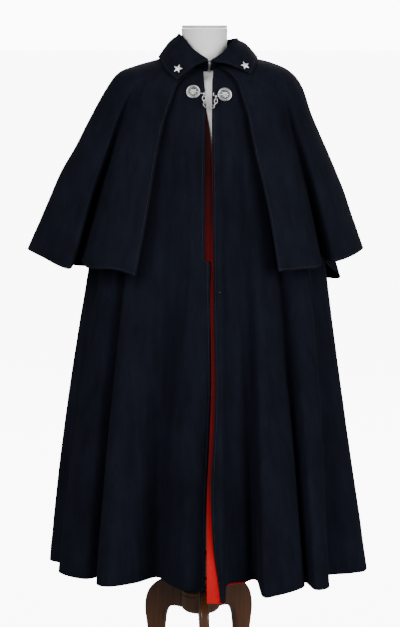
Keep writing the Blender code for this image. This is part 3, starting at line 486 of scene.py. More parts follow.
def collar_fold(place):
    """The collar's fold line at a place counted in rows, and the level direction out of it."""
    step = 0.02
    at = max(step, min(len(COLLAR_ROWS) - 1 - step, place))
    before = spline(COLLAR_ROWS, at - step)
    after = spline(COLLAR_ROWS, at + step)
    along = Vector((after.fold_x - before.fold_x, after.fold_y - before.fold_y, 0.0)).normalized()
    row = spline(COLLAR_ROWS, place)
    return Vector((row.fold_x, row.fold_y, row.fold_z)), Vector((-along.y, along.x, 0.0))


def collar_point(place, turn):
    """The collar fall's outer face: turn runs from 0 inside the neck over the fold at 2 to the edge at 6."""
    fold, outward = collar_fold(place)
    edge = Vector(spline(COLLAR_EDGES, place))
    up = Vector((0.0, 0.0, 1.0))
    bulge = (outward + up) * COLLAR_BULGE
    profile = [
        fold - outward * COLLAR_ROLL - up * COLLAR_TURN,
        fold - outward * COLLAR_ROLL - up * COLLAR_DIP,
        fold,
        fold + outward * COLLAR_ROLL - up * COLLAR_DIP + (edge - fold) * 0.04,
        fold.lerp(edge, 0.36) + bulge * 0.9,
        fold.lerp(edge, 0.68) + bulge * 0.7,
        edge,
    ]
    return Vector(spline(profile, turn))


def collar_stand_point(place, turn):
    """The collar stand's neck side: turn runs from 0 at its top to 1 at the neckline."""
    fold, outward = collar_fold(place)
    top = fold - outward * COLLAR_ROLL
    top.z -= COLLAR_TURN + COLLAR_STAND_DROP
    base = ring_point(STAND_BASE, math.degrees(math.atan2(top.x - STAND_BASE_X, -top.y)))
    base.x += STAND_BASE_X
    return top.lerp(base, turn)


def outward_normal(surface, fold, level, last_fold, last_level):
    """The direction out of a surface at a place on it."""
    step = 0.01
    low_fold = max(0.0, fold - step)
    high_fold = min(last_fold, fold + step)
    low_level = max(0.0, level - step)
    high_level = min(last_level, level + step)
    across = surface(high_fold, level) - surface(low_fold, level)
    down = surface(fold, high_level) - surface(fold, low_level)
    return across.cross(down).normalized() * -1.0


def body_normal(fold, level):
    return outward_normal(body_point, fold, level, len(BODY_FOLDS) - 1.0, WAIST + 1.0)


def cape_normal(fold, level):
    return outward_normal(cape_point, fold, level, len(CAPE_FOLDS) - 1.0, float(CAPE_HEM))


def collar_normal(place, turn):
    return outward_normal(collar_point, place, turn, len(COLLAR_ROWS) - 1.0, 6.0) * -1.0


def steps(start, end, count):
    """Evenly spaced places from start to end, both included."""
    return [start + (end - start) * i / count for i in range(count + 1)]


def found(surface, x, z, fold, level):
    """The place on a surface with this x and z, sought from a first guess."""
    step = 0.002
    for _ in range(30):
        here = surface(fold, level)
        by_fold = (surface(fold + step, level) - here) / step
        by_level = (surface(fold, level + step) - here) / step
        miss_x = x - here.x
        miss_z = z - here.z
        area = by_fold.x * by_level.z - by_level.x * by_fold.z
        fold += 0.6 * (miss_x * by_level.z - by_level.x * miss_z) / area
        level += 0.6 * (by_fold.x * miss_z - miss_x * by_fold.z) / area
    return fold, level


def seat(point, out):
    """The matrix of a piece that stands on a place of the tables, with its height along a direction."""
    across = Vector((0.0, 0.0, 1.0)).cross(out).normalized()
    up = out.cross(across).normalized()
    return Matrix.Translation(placed(point)) @ Matrix((across, up, out)).transposed().to_4x4()


def facing_row(level, folds):
    """The facing's outer face at a level: a margin past the front's edge, then the front's own inner face."""
    edge = spline(FRONT_EDGES, max(0.0, level - WAIST) * (len(FRONT_EDGES) - 1))
    margin = FACING_MARGIN if level < WAIST else edge.left_edge - edge.facing_edge
    margin = FACING_MARGIN_LEAST + (margin - FACING_MARGIN_LEAST) * ease((level - 5.6) / 0.9)
    back = BODY_CLOTH + GAP + 0.0001
    points = []
    normals = []
    for fold in [0.0, 0.0] + folds:
        normal = body_normal(fold, level)
        point = body_point(fold, level) - normal * back
        if level > WAIST + 0.99:
            point += (body_point(fold, level) - body_point(fold, level - 0.02)).normalized() * FACING_DROP
        points.append(point)
        normals.append(normal)
    for place, part in enumerate((1.0, 0.5)):
        points[place] += Vector((-margin * part, 0.0, 0.0)) - normals[place] * 0.0015
    return points


def guard_point(across, down):
    """The upper lining behind the front gap, from its pointed top at 0 to its square lower end at 1."""
    row = spline(LINING_ROWS, down * (len(LINING_ROWS) - 1))
    level = 3.0
    for _ in range(40):
        level += (spline(BODY_SECTIONS, level).z_front - row.z) * 8.0
    section = spline(BODY_SECTIONS, level)
    x = LINING_NEAR_EDGE + (row.far_edge - LINING_NEAR_EDGE) * across
    grown = ease((level - 2.0) / (WAIST - 2.0))
    deeper = 0.0034 * ease((x + 0.010) / 0.0125) + 0.0011 * ease(1 - down / 0.25)
    return ring_point(section, edge_angle(section, x), 0.0050 * grown - 0.0031 - deeper)


def chain_ends():
    """Where the hook and the eye hold the chain, clear of the cloth behind it."""
    lowest = body_point(*found(body_point, *CHAIN_LOWEST, 0.2, 2.9))
    out_to = lowest.y - LINK_WIDTH / 2 - 0.0012
    return [Vector((x, out_to, z)) for x, z in (HOOK_END, EYE_END)]


def arm_path(face, eye, way):
    """The middle line of a clasp arm, from a boss's face to its curled end in the chain."""
    curl = [(-0.0045, 0.0), (0.0, 0.0), (0.0042, 0.0010)]
    curl += [(0.0058, 0.0034), (0.0048, 0.0062), (0.0020, 0.0072)]
    path = [face, face.lerp(eye, 0.5)]
    return path + [eye + Vector((way * x, 0.0, z)) for x, z in curl]


def link_places(start, end):
    """The links in a loop that hangs from the hook to the eye, every second one turned a quarter."""
    hang = LINK_LENGTH / 2 - 3 * WIRE - GAP
    half = (end.x - start.x) / 2
    total = LINK_PITCH * (LINK_COUNT - 1)
    bend = math.pi * half
    straight = (total - bend + start.z - end.z) / 2
    top = start.z - hang
    places = []
    for i in range(LINK_COUNT):
        run = LINK_PITCH * i
        if run < straight:
            spot = Vector((start.x, start.y, top - run))
            turn = 0.0
        elif run > straight + bend:
            spot = Vector((end.x, end.y, end.z - hang - (total - run)))
            turn = math.pi
        else:
            turn = (run - straight) / half
            drop = straight + half * math.sin(turn)
            spot = Vector((start.x + half - half * math.cos(turn), start.y, top - drop))
        along = Vector((math.sin(turn), 0.0, -math.cos(turn)))
        aside = Vector((0.0, 1.0, 0.0)) if i % 2 == 0 else Vector((along.z, 0.0, -along.x))
        places.append((spot, along, aside))
    return places


def link_path(centre, along, aside):
    """The middle line of a long round-ended link."""
    bend = LINK_WIDTH / 2 - WIRE
    side = LINK_LENGTH / 2 - WIRE - bend
    path = []
    for end in (1, -1):
        for step in range(5):
            a = math.pi * step / 4
            spot = centre + along * (end * (side + bend * math.sin(a)))
            path.append(spot + aside * (end * bend * math.cos(a)))
    return path


def edge_step(fold, level, section):
    """How far in degrees the right front reaches further across below the upper lining's lower end."""
    near = ease(1 - (len(BODY_FOLDS) - 1 - fold) / 0.8)
    below = ease((level - EDGE_STEP_LEVEL) / 0.03 + 0.5)
    return math.degrees(EDGE_STEP / section.front) * near * below


def placed(point):
    """A point of the tables, moved to where the form's axis stands."""
    return Vector((point.x + AXIS_X, point.y + AXIS_Y, point.z))


class ClothSettings(bpy.types.PropertyGroup):
    """Sizes and colours of the cloth."""

    wool_colour: bpy.props.FloatVectorProperty(
        name="Wool", description="Colour of the wool", subtype="COLOR", default=(0.0041, 0.0050, 0.0094)
    )
    facing_colour: bpy.props.FloatVectorProperty(
        name="Facing", description="Colour of the front facing", subtype="COLOR", default=(0.46, 0.0035, 0.0070)
    )
    # A red lining cloth, made much darker as painted shade of the gap behind the fronts
    lining_colour: bpy.props.FloatVectorProperty(
        name="Lining", description="Colour of the upper lining", subtype="COLOR", default=(0.060, 0.0006, 0.0014)
    )
    jersey_colour: bpy.props.FloatVectorProperty(
        name="Jersey", description="Colour of the form's cover", subtype="COLOR", default=(0.86, 0.845, 0.835)
    )
    wool_thickness: bpy.props.FloatProperty(
        name="Wool thickness", description="Thickness of body and cape", unit="LENGTH", default=BODY_CLOTH
    )
    collar_thickness: bpy.props.FloatProperty(
        name="Collar thickness", description="Thickness of the collar", unit="LENGTH", default=COLLAR_CLOTH
    )
    facing_thickness: bpy.props.FloatProperty(
        name="Facing thickness", description="Thickness of facing and lining", unit="LENGTH", default=FACING_CLOTH
    )
    unevenness: bpy.props.FloatProperty(
        name="Unevenness", description="How far the wool strays from its folds", unit="LENGTH", default=0.0011
    )
    stitch_inset: bpy.props.FloatProperty(
        name="Stitch inset", description="Distance of the edge stitching from the edge", unit="LENGTH", default=0.0050
    )
    stitch_pitch: bpy.props.FloatProperty(
        name="Stitch pitch", description="Length of one stitch and its gap", unit="LENGTH", default=0.0034
    )


class MetalSettings(bpy.types.PropertyGroup):
    """Sizes and colours of the clasp and the trim."""

    silver_colour: bpy.props.FloatVectorProperty(
        name="Silver", description="Colour of the bright metal", subtype="COLOR", default=(0.72, 0.73, 0.74)
    )
    dark_colour: bpy.props.FloatVectorProperty(
        name="Dark wire", description="Colour of the collar's wire hook", subtype="COLOR", default=(0.03, 0.03, 0.033)
    )
    star_colour: bpy.props.FloatVectorProperty(
        name="Stars", description="Colour of the collar's stars", subtype="COLOR", default=(0.90, 0.90, 0.91)
    )
    recess_colour: bpy.props.FloatVectorProperty(
        name="Recess", description="Colour of the bosses' sunk ground", subtype="COLOR", default=(0.115, 0.115, 0.118)
    )
    beads: bpy.props.IntProperty(name="Beads", description="Beads round a boss", default=26)
    petals: bpy.props.IntProperty(name="Petals", description="Petals of the rosette", default=8)
    wire: bpy.props.FloatProperty(
        name="Wire", description="Radius of the clasp's wire", unit="LENGTH", default=WIRE
    )


class StandSettings(bpy.types.PropertyGroup):
    """Sizes and colours of the form's stand."""

    wood_colour: bpy.props.FloatVectorProperty(
        name="Wood", description="Colour of the varnished wood", subtype="COLOR", default=(0.105, 0.040, 0.016)
    )
    leg_thickness: bpy.props.FloatProperty(
        name="Leg thickness", description="Thickness of a leg's board", unit="LENGTH", default=LEG_THICKNESS
    )


class StageSettings(bpy.types.PropertyGroup):
    """The floor, the lights and the camera."""

    floor_colour: bpy.props.FloatVectorProperty(
        name="Floor", description="Colour of the floor", subtype="COLOR", default=(0.86, 0.86, 0.86)
    )
    floor_glow: bpy.props.FloatProperty(
        name="Floor glow", description="How far the floor is lit through from below", default=9.0
    )
    surround: bpy.props.FloatProperty(
        name="Surround", description="Strength of the even white light all round", default=0.22
    )
    backdrop: bpy.props.FloatProperty(
        name="Backdrop", description="Brightness of the white backdrop itself", default=11.0
    )
    camera_distance: bpy.props.FloatProperty(
        name="Camera distance", description="From the camera to the form", unit="LENGTH", default=4.5
    )
    camera_height: bpy.props.FloatProperty(
        name="Camera height", description="Height of the camera", unit="LENGTH", default=1.57
    )
    camera_tilt: bpy.props.FloatProperty(
        name="Camera tilt", description="How far the camera looks down", subtype="ANGLE", default=math.radians(8.2)
    )
    camera_lens: bpy.props.FloatProperty(
        name="Lens", description="Focal length in millimetres", default=2000.0 * 36.0 / 627.0
    )


Crease = namedtuple("Crease", "line width depth")

# The collar's stars: name, x and z seen from the front, the collar row where the search starts, and their tilt
STARS = [
    ("collar_star_right", -0.0582, 1.4755, 1.3, 14.0),
    ("collar_star_left", 0.0886, 1.482, len(COLLAR_ROWS) - 2.6, -12.0),
]
# The front stud's x and z, and the collar hook's wire
STUD = (0.0322, 0.9966)
HOOK_Y = -0.079
HOOK_WIRE = 0.0011
COLLAR_HOOK = [(0.0085, 1.489), (0.009, 1.4915), (0.0112, 1.493), (0.0134, 1.4912), (0.0139, 1.4885)]

# Soft ridges of the cloth as seen from the front: their lines by x and z, how wide they are and how far they rise
BODY_CREASES = [
    Crease(
        [(-0.0449, 1.34), (-0.0242, 1.219), (-0.0253, 1.043), (-0.0425, 0.878), (-0.0519, 0.807)],
        0.0095,
        0.0038,
    ),
    Crease([(-0.033, 1.33), (-0.012, 1.22), (-0.013, 1.06), (-0.029, 0.9)], 0.01, -0.0025),
    Crease([(0.0728, 1.318), (0.0466, 1.223), (0.0286, 1.043), (0.03, 0.96)], 0.0085, 0.0036),
    Crease([(0.086, 1.28), (0.064, 1.17), (0.056, 1.0000), (0.062, 0.83)], 0.013, -0.003),
    Crease([(-0.09, 1.03), (-0.096, 0.82), (-0.115, 0.54)], 0.018, 0.003),
    Crease([(-0.145, 1.0000), (-0.16, 0.78), (-0.18, 0.56)], 0.017, -0.0025),
    Crease([(-0.062, 0.76), (-0.064, 0.6), (-0.06, 0.43)], 0.016, 0.0027),
    Crease([(0.123, 1.04), (0.133, 0.82), (0.138, 0.56)], 0.016, 0.0025),
    Crease([(0.165, 1.02), (0.175, 0.86), (0.18, 0.65)], 0.014, -0.0023),
    Crease([(0.225, 0.98), (0.252, 0.74), (0.272, 0.52)], 0.014, 0.0029),
]
CAPE_CREASES = [
    Crease([(-0.132, 1.42), (-0.15, 1.33), (-0.17, 1.16)], 0.018, 0.003),
    Crease([(-0.205, 1.38), (-0.24, 1.25), (-0.275, 1.12)], 0.02, -0.0027),
    Crease([(0.125, 1.44), (0.15, 1.36), (0.18, 1.23)], 0.017, 0.0029),
    Crease([(0.225, 1.36), (0.255, 1.24), (0.285, 1.12)], 0.02, 0.0027),
]


def filled(tree, node, inputs):
    """A node with each of these inputs linked to a socket or set to a value."""
    for name, value in inputs.items():
        if isinstance(value, bpy.types.NodeSocket):
            tree.links.new(value, node.inputs[name])
        else:
            node.inputs[name].default_value = value
    return node


def new_node(tree, kind, inputs, **settings):
    """A new shader node with its settings and inputs."""
    node = tree.nodes.new("ShaderNode" + kind)
    for setting, value in settings.items():
        setattr(node, setting, value)
    return filled(tree, node, inputs)


def scaled(colour, factor):
    """A colour times a factor."""
    return tuple(part * factor for part in colour)


class Finish:
    """A material in the making: its nodes, its shader and the place on the object."""

    def __init__(self, name, colour, metallic, roughness):
        self.made = bpy.data.materials.new(name)
        self.made.use_nodes = True
        self.made.diffuse_color = (*colour, 1.0)
        self.tree = self.made.node_tree
        self.place = new_node(self.tree, "TexCoord", {}).outputs["Object"]
        self.shaded({"Base Color": (*colour, 1.0), "Metallic": metallic, "Roughness": roughness})

    def shaded(self, inputs):
        """The material with these inputs of its shader linked or set."""
        filled(self.tree, self.tree.nodes["Principled BSDF"], inputs)
        return self.made

    def noise(self, scale, detail=3.0, rough=0.55, stretch=None):
        """A noise texture over the object, stretched if asked."""
        place = self.place
        if stretch is not None:
            place = new_node(self.tree, "Mapping", {"Scale": stretch, "Vector": place}).outputs["Vector"]
        inputs = {"Scale": scale, "Detail": detail, "Roughness": rough, "Vector": place}
        return new_node(self.tree, "TexNoise", inputs).outputs["Fac"]

    def wave(self, direction, scale, distortion, detail=2.0):
        """Bands across the threads of the UV map."""
        threads = new_node(self.tree, "UVMap", {}, uv_map="UVMap").outputs["UV"]
        inputs = {"Scale": scale, "Distortion": distortion, "Detail": detail, "Vector": threads}
        return new_node(self.tree, "TexWave", inputs, bands_direction=direction).outputs["Fac"]

    def ramp(self, value, *stops):
        """A colour ramp over a value, from stops of place and colour."""
        made = new_node(self.tree, "ValToRGB", {"Fac": value})
        elements = made.color_ramp.elements
        while len(elements) < len(stops):
            elements.new(0.5)
        for element, (place, colour) in zip(elements, stops):
            element.position = place
            element.color = (*colour, 1.0)
        return made.outputs["Color"]

    def product(self, first, second):
        """One colour times another."""
        inputs = {"Factor": 1.0, 6: first, 7: second}
        return new_node(self.tree, "Mix", inputs, data_type="RGBA", blend_type="MULTIPLY").outputs[2]

    def bump(self, height, strength, distance, normal=None):
        """A bump from a height, over another bump if given."""
        inputs = {"Strength": strength, "Distance": distance, "Height": height}
        if normal is not None:
            inputs["Normal"] = normal
        return new_node(self.tree, "Bump", inputs).outputs["Normal"]


def wool_material(name, colour):
    """Fulled wool: a short nap over a dense twill, a little darker in patches, pressed in along its stitching."""
    look = Finish(name, colour, 0.0, 0.92)
    patches = look.ramp(look.noise(9.0, 4.0), (0.30, scaled(colour, 0.80)), (0.70, scaled(colour, 1.22)))
    streaks = look.ramp(look.noise(60.0, 3.0, 0.6, (1.0, 1.0, 0.07)), (0.30, (0.80,) * 3), (0.70, (1.22,) * 3))
    nap = look.noise(620.0, 3.0, 0.7)
    flecks = look.ramp(nap, (0.32, (0.72, 0.72, 0.74)), (0.68, (1.30, 1.30, 1.26)))
    edge = new_node(look.tree, "Attribute", {}, attribute_name="edge").outputs["Fac"]
    away = new_node(look.tree, "Math", {0: edge, 1: 50.0}, operation="MULTIPLY").outputs[0]
    stops = [(0.0, (0.35,) * 3), (0.06, (0.80,) * 3), (0.15, (1.0,) * 3), (0.25, (0.15,) * 3), (0.36, (1.0,) * 3)]
    relief = look.bump(look.ramp(away, *stops), 0.9, 0.0011)
    relief = look.bump(look.wave("DIAGONAL", 260.0, 1.2, 1.0), 0.12, 0.0003, relief)
    relief = look.bump(nap, 0.55, 0.0006, relief)
    relief = look.bump(look.noise(55.0), 0.5, 0.0020, relief)
    inputs = {"Base Color": look.product(look.product(patches, streaks), flecks), "Normal": relief}
    inputs |= {"Sheen Weight": 0.012, "Sheen Roughness": 0.35, "Sheen Tint": (0.50, 0.58, 0.78, 1.0)}
    return look.shaded(inputs | {"Specular IOR Level": 0.06})


def thread_material(name, colour):
    """Twisted thread, or a plain cloth of it, finely speckled."""
    look = Finish(name, colour, 0.0, 0.6)
    twist = look.noise(1500.0, 2.0)
    speckled = look.ramp(twist, (0.3, scaled(colour, 0.7)), (0.7, scaled(colour, 1.4)))
    return look.shaded({"Base Color": speckled, "Normal": look.bump(twist, 0.4, 0.0002)})


def facing_material(name, colour, low, high, dark):
    """Smooth, finely napped cloth with painted shade: its own colour below one height, darkened by a factor above
    another.
    """
    look = Finish(name, colour, 0.0, 0.88)
    patches = look.ramp(look.noise(14.0, 4.0), (0.3, (0.84,) * 3), (0.7, (1.0,) * 3))
    height = new_node(look.tree, "SeparateXYZ", {"Vector": look.place}).outputs["Z"]
    span = new_node(look.tree, "MapRange", {"From Min": low, "From Max": high, "Value": height}).outputs["Result"]
    # Painted shade: the colour darkens from the lower height to the upper one and stays darkened above it, as the
    # shade between the fronts
    painted_shade_tone = look.ramp(span, (0.0, colour), (1.0, scaled(colour, dark)))
    nap = look.bump(look.noise(700.0, 3.0, 0.65), 0.35, 0.0004)
    folds = look.bump(look.noise(60.0, 2.0, 0.5, (1.0, 1.0, 0.25)), 0.25, 0.002, nap)
    inputs = {"Base Color": look.product(painted_shade_tone, patches), "Normal": folds}
    inputs |= {"Sheen Weight": 0.04, "Sheen Tint": (1.0, 0.45, 0.45, 1.0)}
    return look.shaded(inputs | {"Specular IOR Level": 0.12})


def jersey_material(name, colour):
    """A stretched knit cover: fine wales and courses, a little soiled."""
    look = Finish(name, colour, 0.0, 0.88)
    soiled = look.ramp(look.noise(12.0, 5.0), (0.25, scaled(colour, 0.88)), (0.75, scaled(colour, 1.06)))
    wales = look.bump(look.wave("X", 330.0, 0.6), 0.35, 0.0003)
    courses = look.bump(look.wave("Y", 260.0, 0.6), 0.25, 0.0003, wales)
    return look.shaded({"Base Color": soiled, "Normal": courses, "Sheen Weight": 0.2})


def silver_material(name, colour):
    """Polished metal, duller and darker in random spots."""
    look = Finish(name, colour, 1.0, 0.2)
    wear = look.noise(260.0, 4.0)
    inputs = {"Base Color": look.ramp(wear, (0.25, scaled(colour, 0.62)), (0.62, colour))}
    inputs["Roughness"] = look.ramp(wear, (0.2, (0.42,) * 3), (0.8, (0.16,) * 3))
    return look.shaded(inputs | {"Normal": look.bump(wear, 0.12, 0.0002)})


def star_material(name, colour):
    """Frosted white metal, which stays bright from any side."""
    look = Finish(name, colour, 0.55, 0.48)
    return look.shaded({"Normal": look.bump(look.noise(900.0), 0.15, 0.0001)})


def dark_wire_material(name, colour):
    """Dark metal, lighter and darker in spots."""
    look = Finish(name, colour, 0.9, 0.4)
    worn = look.ramp(look.noise(500.0), (0.3, scaled(colour, 0.6)), (0.7, scaled(colour, 1.5)))
    return look.shaded({"Base Color": worn})


def wood_material(name, colour):
    """Dark stained wood under a glossy varnish, its grain along the height."""
    look = Finish(name, colour, 0.0, 0.34)
    stops = [(0.28, scaled(colour, 0.70)), (0.50, colour), (0.74, scaled(colour, 1.30))]
    grain = look.ramp(look.noise(30.0, 5.0, 0.6, (6.0, 6.0, 0.4)), *stops)
    pores = look.bump(look.noise(260.0, 3.0, 0.6, (5.0, 5.0, 0.35)), 0.15, 0.0003)
    inputs = {"Base Color": grain, "Normal": pores, "Coat Weight": 0.5, "Coat Roughness": 0.10}
    return look.shaded(inputs | {"Specular IOR Level": 0.3})


def material_named(name):
    """A finish of this scene, made on its first use."""
    found_one = bpy.data.materials.get(name)
    if found_one is not None:
        return found_one
    cloth = bpy.context.scene.cloak_cloth
    metal = bpy.context.scene.cloak_metal
    stand = bpy.context.scene.cloak_stand
    # Painted shade of the reds: the height where darkening starts, the height above which it is full, and the
    # darkening factor
    painted_shade_of_reds = {"red_facing": (0.44, 0.60, 0.16), "upper_red": (1.08, 1.26, 0.30)}
    if name in painted_shade_of_reds:
        colour = cloth.facing_colour if name == "red_facing" else cloth.lining_colour
        return facing_material(name, tuple(colour), *painted_shade_of_reds[name])
    makers = {
        "fulled_navy_wool": (wool_material, cloth.wool_colour),
        "navy_thread": (thread_material, scaled(cloth.wool_colour, 1.7)),
        "grey_jersey": (jersey_material, cloth.jersey_colour),
        "cap_cloth": (thread_material, scaled(cloth.jersey_colour, 0.62)),
        "frosted_silver": (star_material, metal.star_colour),
        "polished_silver": (silver_material, metal.silver_colour),
        "darkened_silver": (dark_wire_material, metal.recess_colour),
        "blackened_wire": (dark_wire_material, metal.dark_colour),
        "varnished_wood": (wood_material, stand.wood_colour),
    }
    maker, colour = makers[name]
    return maker(name, tuple(colour))


def finished(mesh, name, look, slot_name, *nodes, sharp=40.0):
    """A modelled piece as an object: it rides on the body and stands for its CAD nodes."""
    data = bpy.data.meshes.new(name)
    mesh.to_mesh(data)
    mesh.free()
    data.shade_smooth()
    data.set_sharp_from_angle(angle=math.radians(sharp))
    data.materials.append(material_named(look))
    made = bpy.data.objects.new(name, data)
    bpy.context.scene.collection.objects.link(made)
    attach(made, BODY)
    if nodes:
        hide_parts(*nodes)
    return made


def shared(stops, share):
    """The value at a share of the way, from rows of share and value."""
    for (low, start), (high, end) in zip(stops, stops[1:]):
        if share <= high or high == stops[-1][0]:
            return start + (end - start) * (share - low) / (high - low)
    return stops[-1][1]


def normals_of(points):
    """The direction out of each point of a grid whose rows run down and columns across."""
    across = np.gradient(points, axis=1)
    down = np.gradient(points, axis=0)
    out = np.cross(across, -down)
    return out / np.maximum(np.linalg.norm(out, axis=2, keepdims=True), 1e-9)


def lengths(points, axis):
    """How far along the grid each point is, from the first, down the columns or across the rows."""
    steps_taken = np.linalg.norm(np.diff(points, axis=axis), axis=2)
    start = np.zeros_like(np.take(steps_taken, [0], axis=axis))
    return np.cumsum(np.concatenate([start, steps_taken], axis=axis), axis=axis)


def laid(surface, across, down, wide, high):
    """A grid of points on a surface, with places from the stops across and down."""
    rows = []
    for i in range(high + 1):
        level = shared(down, i / high)
        rows.append([tuple(placed(surface(shared(across, j / wide), level))) for j in range(wide + 1)])
    return np.array(rows)


# The cloth's unevenness: how fast its slow and fine waves turn across and up, and the fine ones' share
SLOW_ACROSS, SLOW_UP = 13, 5.0
FINE_ACROSS, FINE_UP = 38, 17
FINE_SHIFT = 7.0
FINE_SHARE = 0.38


def stray(points, size, creases):
    """How far each point strays from its smooth surface: slow waves and the creases of a table."""
    off = np.zeros(points.shape[:2])
    for i, row in enumerate(points):
        for j, (x, y, z) in enumerate(row):
            slow = noise.noise(Vector((x * SLOW_ACROSS, y * SLOW_ACROSS, z * SLOW_UP)))
            fine = noise.noise(Vector((x * FINE_ACROSS + FINE_SHIFT, y * FINE_ACROSS, z * FINE_UP)))
            off[i, j] = size * (slow + FINE_SHARE * fine)
    ahead = points[:, :, 1] < AXIS_Y
    for crease in creases:
        spots = np.array(crease.line) + (AXIS_X, 0.0)
        count = len(spots) - 1
        nearest = np.full(off.shape, 9.0)
        place = np.zeros(off.shape)
        for k, (start, end) in enumerate(zip(spots, spots[1:])):
            run = end - start
            here = points[:, :, [0, 2]] - start
            part = np.clip(here @ run / (run @ run), 0, 1)
            aside = np.linalg.norm(here - part[:, :, None] * run, axis=2)
            place = np.where(aside < nearest, (k + part) / count, place)
            nearest = np.minimum(aside, nearest)
        ends = np.sqrt(np.sin(np.clip(place, 0.01, 0.99) * math.pi))
        off += np.where(ahead, crease.depth * ends * np.exp(-((nearest / crease.width) ** 2)), 0.0)
    return off


def cloth_mesh(points, edges=(), flip=False):
    """A sheet through a grid of points, with its threads as a UV map in metres and how far each stitched edge is."""
    high, wide = points.shape[0] - 1, points.shape[1] - 1
    mesh = bmesh.new()
    bmesh.ops.create_grid(mesh, x_segments=wide, y_segments=high, size=0.5)
    mesh.verts.ensure_lookup_table()
    places = [(round((0.5 - v.co.y) * high), round((v.co.x + 0.5) * wide)) for v in mesh.verts]
    across = lengths(points, 1)
    down = lengths(points, 0)
    far = np.full(points.shape[:2], 0.06)
    for side in edges:
        reach = {"first": across, "last": across[:, -1:] - across, "hem": down[-1:, :] - down}[side]
        far = np.minimum(far, reach)
    edge_layer = mesh.verts.layers.float.new("edge")
    uv = mesh.loops.layers.uv.new("UVMap")
    for vert, (i, j) in zip(mesh.verts, places):
        vert.co = points[i, j]
        vert[edge_layer] = float(far[i, j])
    threads = across[int(np.argmax(across[:, -1]))]
    middle = down[:, wide // 2]
    for face in mesh.faces:
        for loop in face.loops:
            i, j = places[loop.vert.index]
            loop[uv].uv = (threads[j], middle[i])
    if flip:
        bmesh.ops.reverse_faces(mesh, faces=mesh.faces)
    return mesh


def closed_mesh(rows, near):
    """A round body through rings of points, its seam merged and its ends filled."""
    mesh = cloth_mesh(np.array(rows))
    bmesh.ops.remove_doubles(mesh, verts=mesh.verts, dist=near)
    bmesh.ops.holes_fill(mesh, edges=[e for e in mesh.edges if e.is_boundary], sides=0)
    bmesh.ops.recalc_face_normals(mesh, faces=mesh.faces)
    return mesh


def thickened(piece, thickness, offset=-1.0):
    """Gives a sheet its thickness and a soft edge."""
    solidify = piece.modifiers.new("thickness", "SOLIDIFY")
    solidify.thickness = thickness
    solidify.offset = offset
    solidify.use_even_offset = False
    bevel = piece.modifiers.new("soft edge", "BEVEL")
    bevel.width = thickness * 0.32
    bevel.segments = 2
    bevel.limit_method = "ANGLE"
    bevel.angle_limit = math.radians(62.0)


def line_at(points, side, inset):
    """The line on a grid of points at a distance in from one of its sides, with the direction out of the cloth."""
    out = normals_of(points)
    if side == "hem":
        columns = np.swapaxes(points, 0, 1)
        directions = np.swapaxes(out, 0, 1)
    else:
        columns = points
        directions = out
    if side in ("hem", "last"):
        columns = columns[:, ::-1]
        directions = directions[:, ::-1]
    line = []
    for column, direction in zip(columns, directions):
        gone = np.concatenate([[0.0], np.cumsum(np.linalg.norm(np.diff(column, axis=0), axis=1))])
        spot = [np.interp(inset, gone, column[:, k]) for k in range(3)]
        way = [np.interp(inset, gone, direction[:, k]) for k in range(3)]
        line.append((Vector(spot), Vector(way).normalized()))
    return line


def stitch_mesh(lines, pitch):
    """Stitches along lines of points: each a small rounded rod half sunk in the cloth."""
    mesh = bmesh.new()
    for line in lines:
        gone = 0.0
        due = pitch * 0.5
        for (here, out), (there, _) in zip(line, line[1:]):
            run = there - here
            span = run.length
            while span > 0 and due <= gone + span:
                along = run.normalized()
                spot = here + along * (due - gone) + out * STITCH_LIFT
                aside = out.cross(along).normalized()
                turn = Matrix((along, aside, out)).transposed().to_4x4()
                shape = Matrix.Diagonal((pitch * 0.38, 0.00034, 0.00026, 1.0))
                bmesh.ops.create_icosphere(
                    mesh, subdivisions=1, radius=1.0, matrix=Matrix.Translation(spot) @ turn @ shape
                )
                due += pitch
            gone += span
    return mesh


def stitched(name, lines, pitch):
    """The edge stitching of a piece, as a piece of its own."""
    return finished(stitch_mesh(lines, pitch), name + "_stitching", "navy_thread", "navy_wool")


# The body's level at each share of its rows, how many rows, and its panels: folds, columns, edges and cut
BODY_DOWN = [(0.0, 0.0), (0.30, 6.50), (0.33, 6.62), (0.36, 7.0), (1.0, 8.0)]
BODY_ROWS = 240
PANELS = (
    ("cloak_front_left", 0.0, SIDE_SEAM_LEFT, 150, ("first", "hem"), (0.83, 1.19), 0.588),
    ("cloak_back_left", SIDE_SEAM_LEFT, BACK_SEAM, 76, ("hem",), (0.72, 1.16), 0.474),
    ("cloak_back_right", BACK_SEAM, SIDE_SEAM_RIGHT, 76, ("hem",), (0.71, 1.16), 0.484),
    ("cloak_front_right", SIDE_SEAM_RIGHT, len(BODY_FOLDS) - 1.0, 140, ("last", "hem"), (0.73, 1.19), 0.549),
)


class CLOAK_OT_body(bpy.types.Operator):
    """Drapes the four panels of the cloak's body and stitches their edges"""

    bl_idname = "cloak.body"
    bl_label = "Body of the cloak"

    def execute(self, context):
        cloth = context.scene.cloak_cloth
        for name, first, last, wide, edges, flat, area in PANELS:
            points = laid(body_point, [(0.0, first), (1.0, last)], BODY_DOWN, wide, BODY_ROWS)
            points += normals_of(points) * stray(points, cloth.unevenness, BODY_CREASES)[:, :, None]
            panel = finished(cloth_mesh(points, edges), name + "_wool", "fulled_navy_wool", "navy_wool", name)
            thickened(panel, cloth.wool_thickness)
            lines = [line_at(points, side, cloth.stitch_inset) for side in edges if side != "hem"]
            parts = [stitched(name, lines, cloth.stitch_pitch)] if lines else []
        return {"FINISHED"}


# The halves of the cape: folds, edges and cut, and the columns and rows of each grid
CAPE_HALVES = (
    ("cape_left", 0.0, CAPE_SEAM, ("first", "hem"), (1.42, 0.56), 0.342),
    ("cape_right", CAPE_SEAM, len(CAPE_FOLDS) - 1.0, ("last", "hem"), (1.52, 0.56), 0.375),
)
CAPE_GRID = (170, 110)


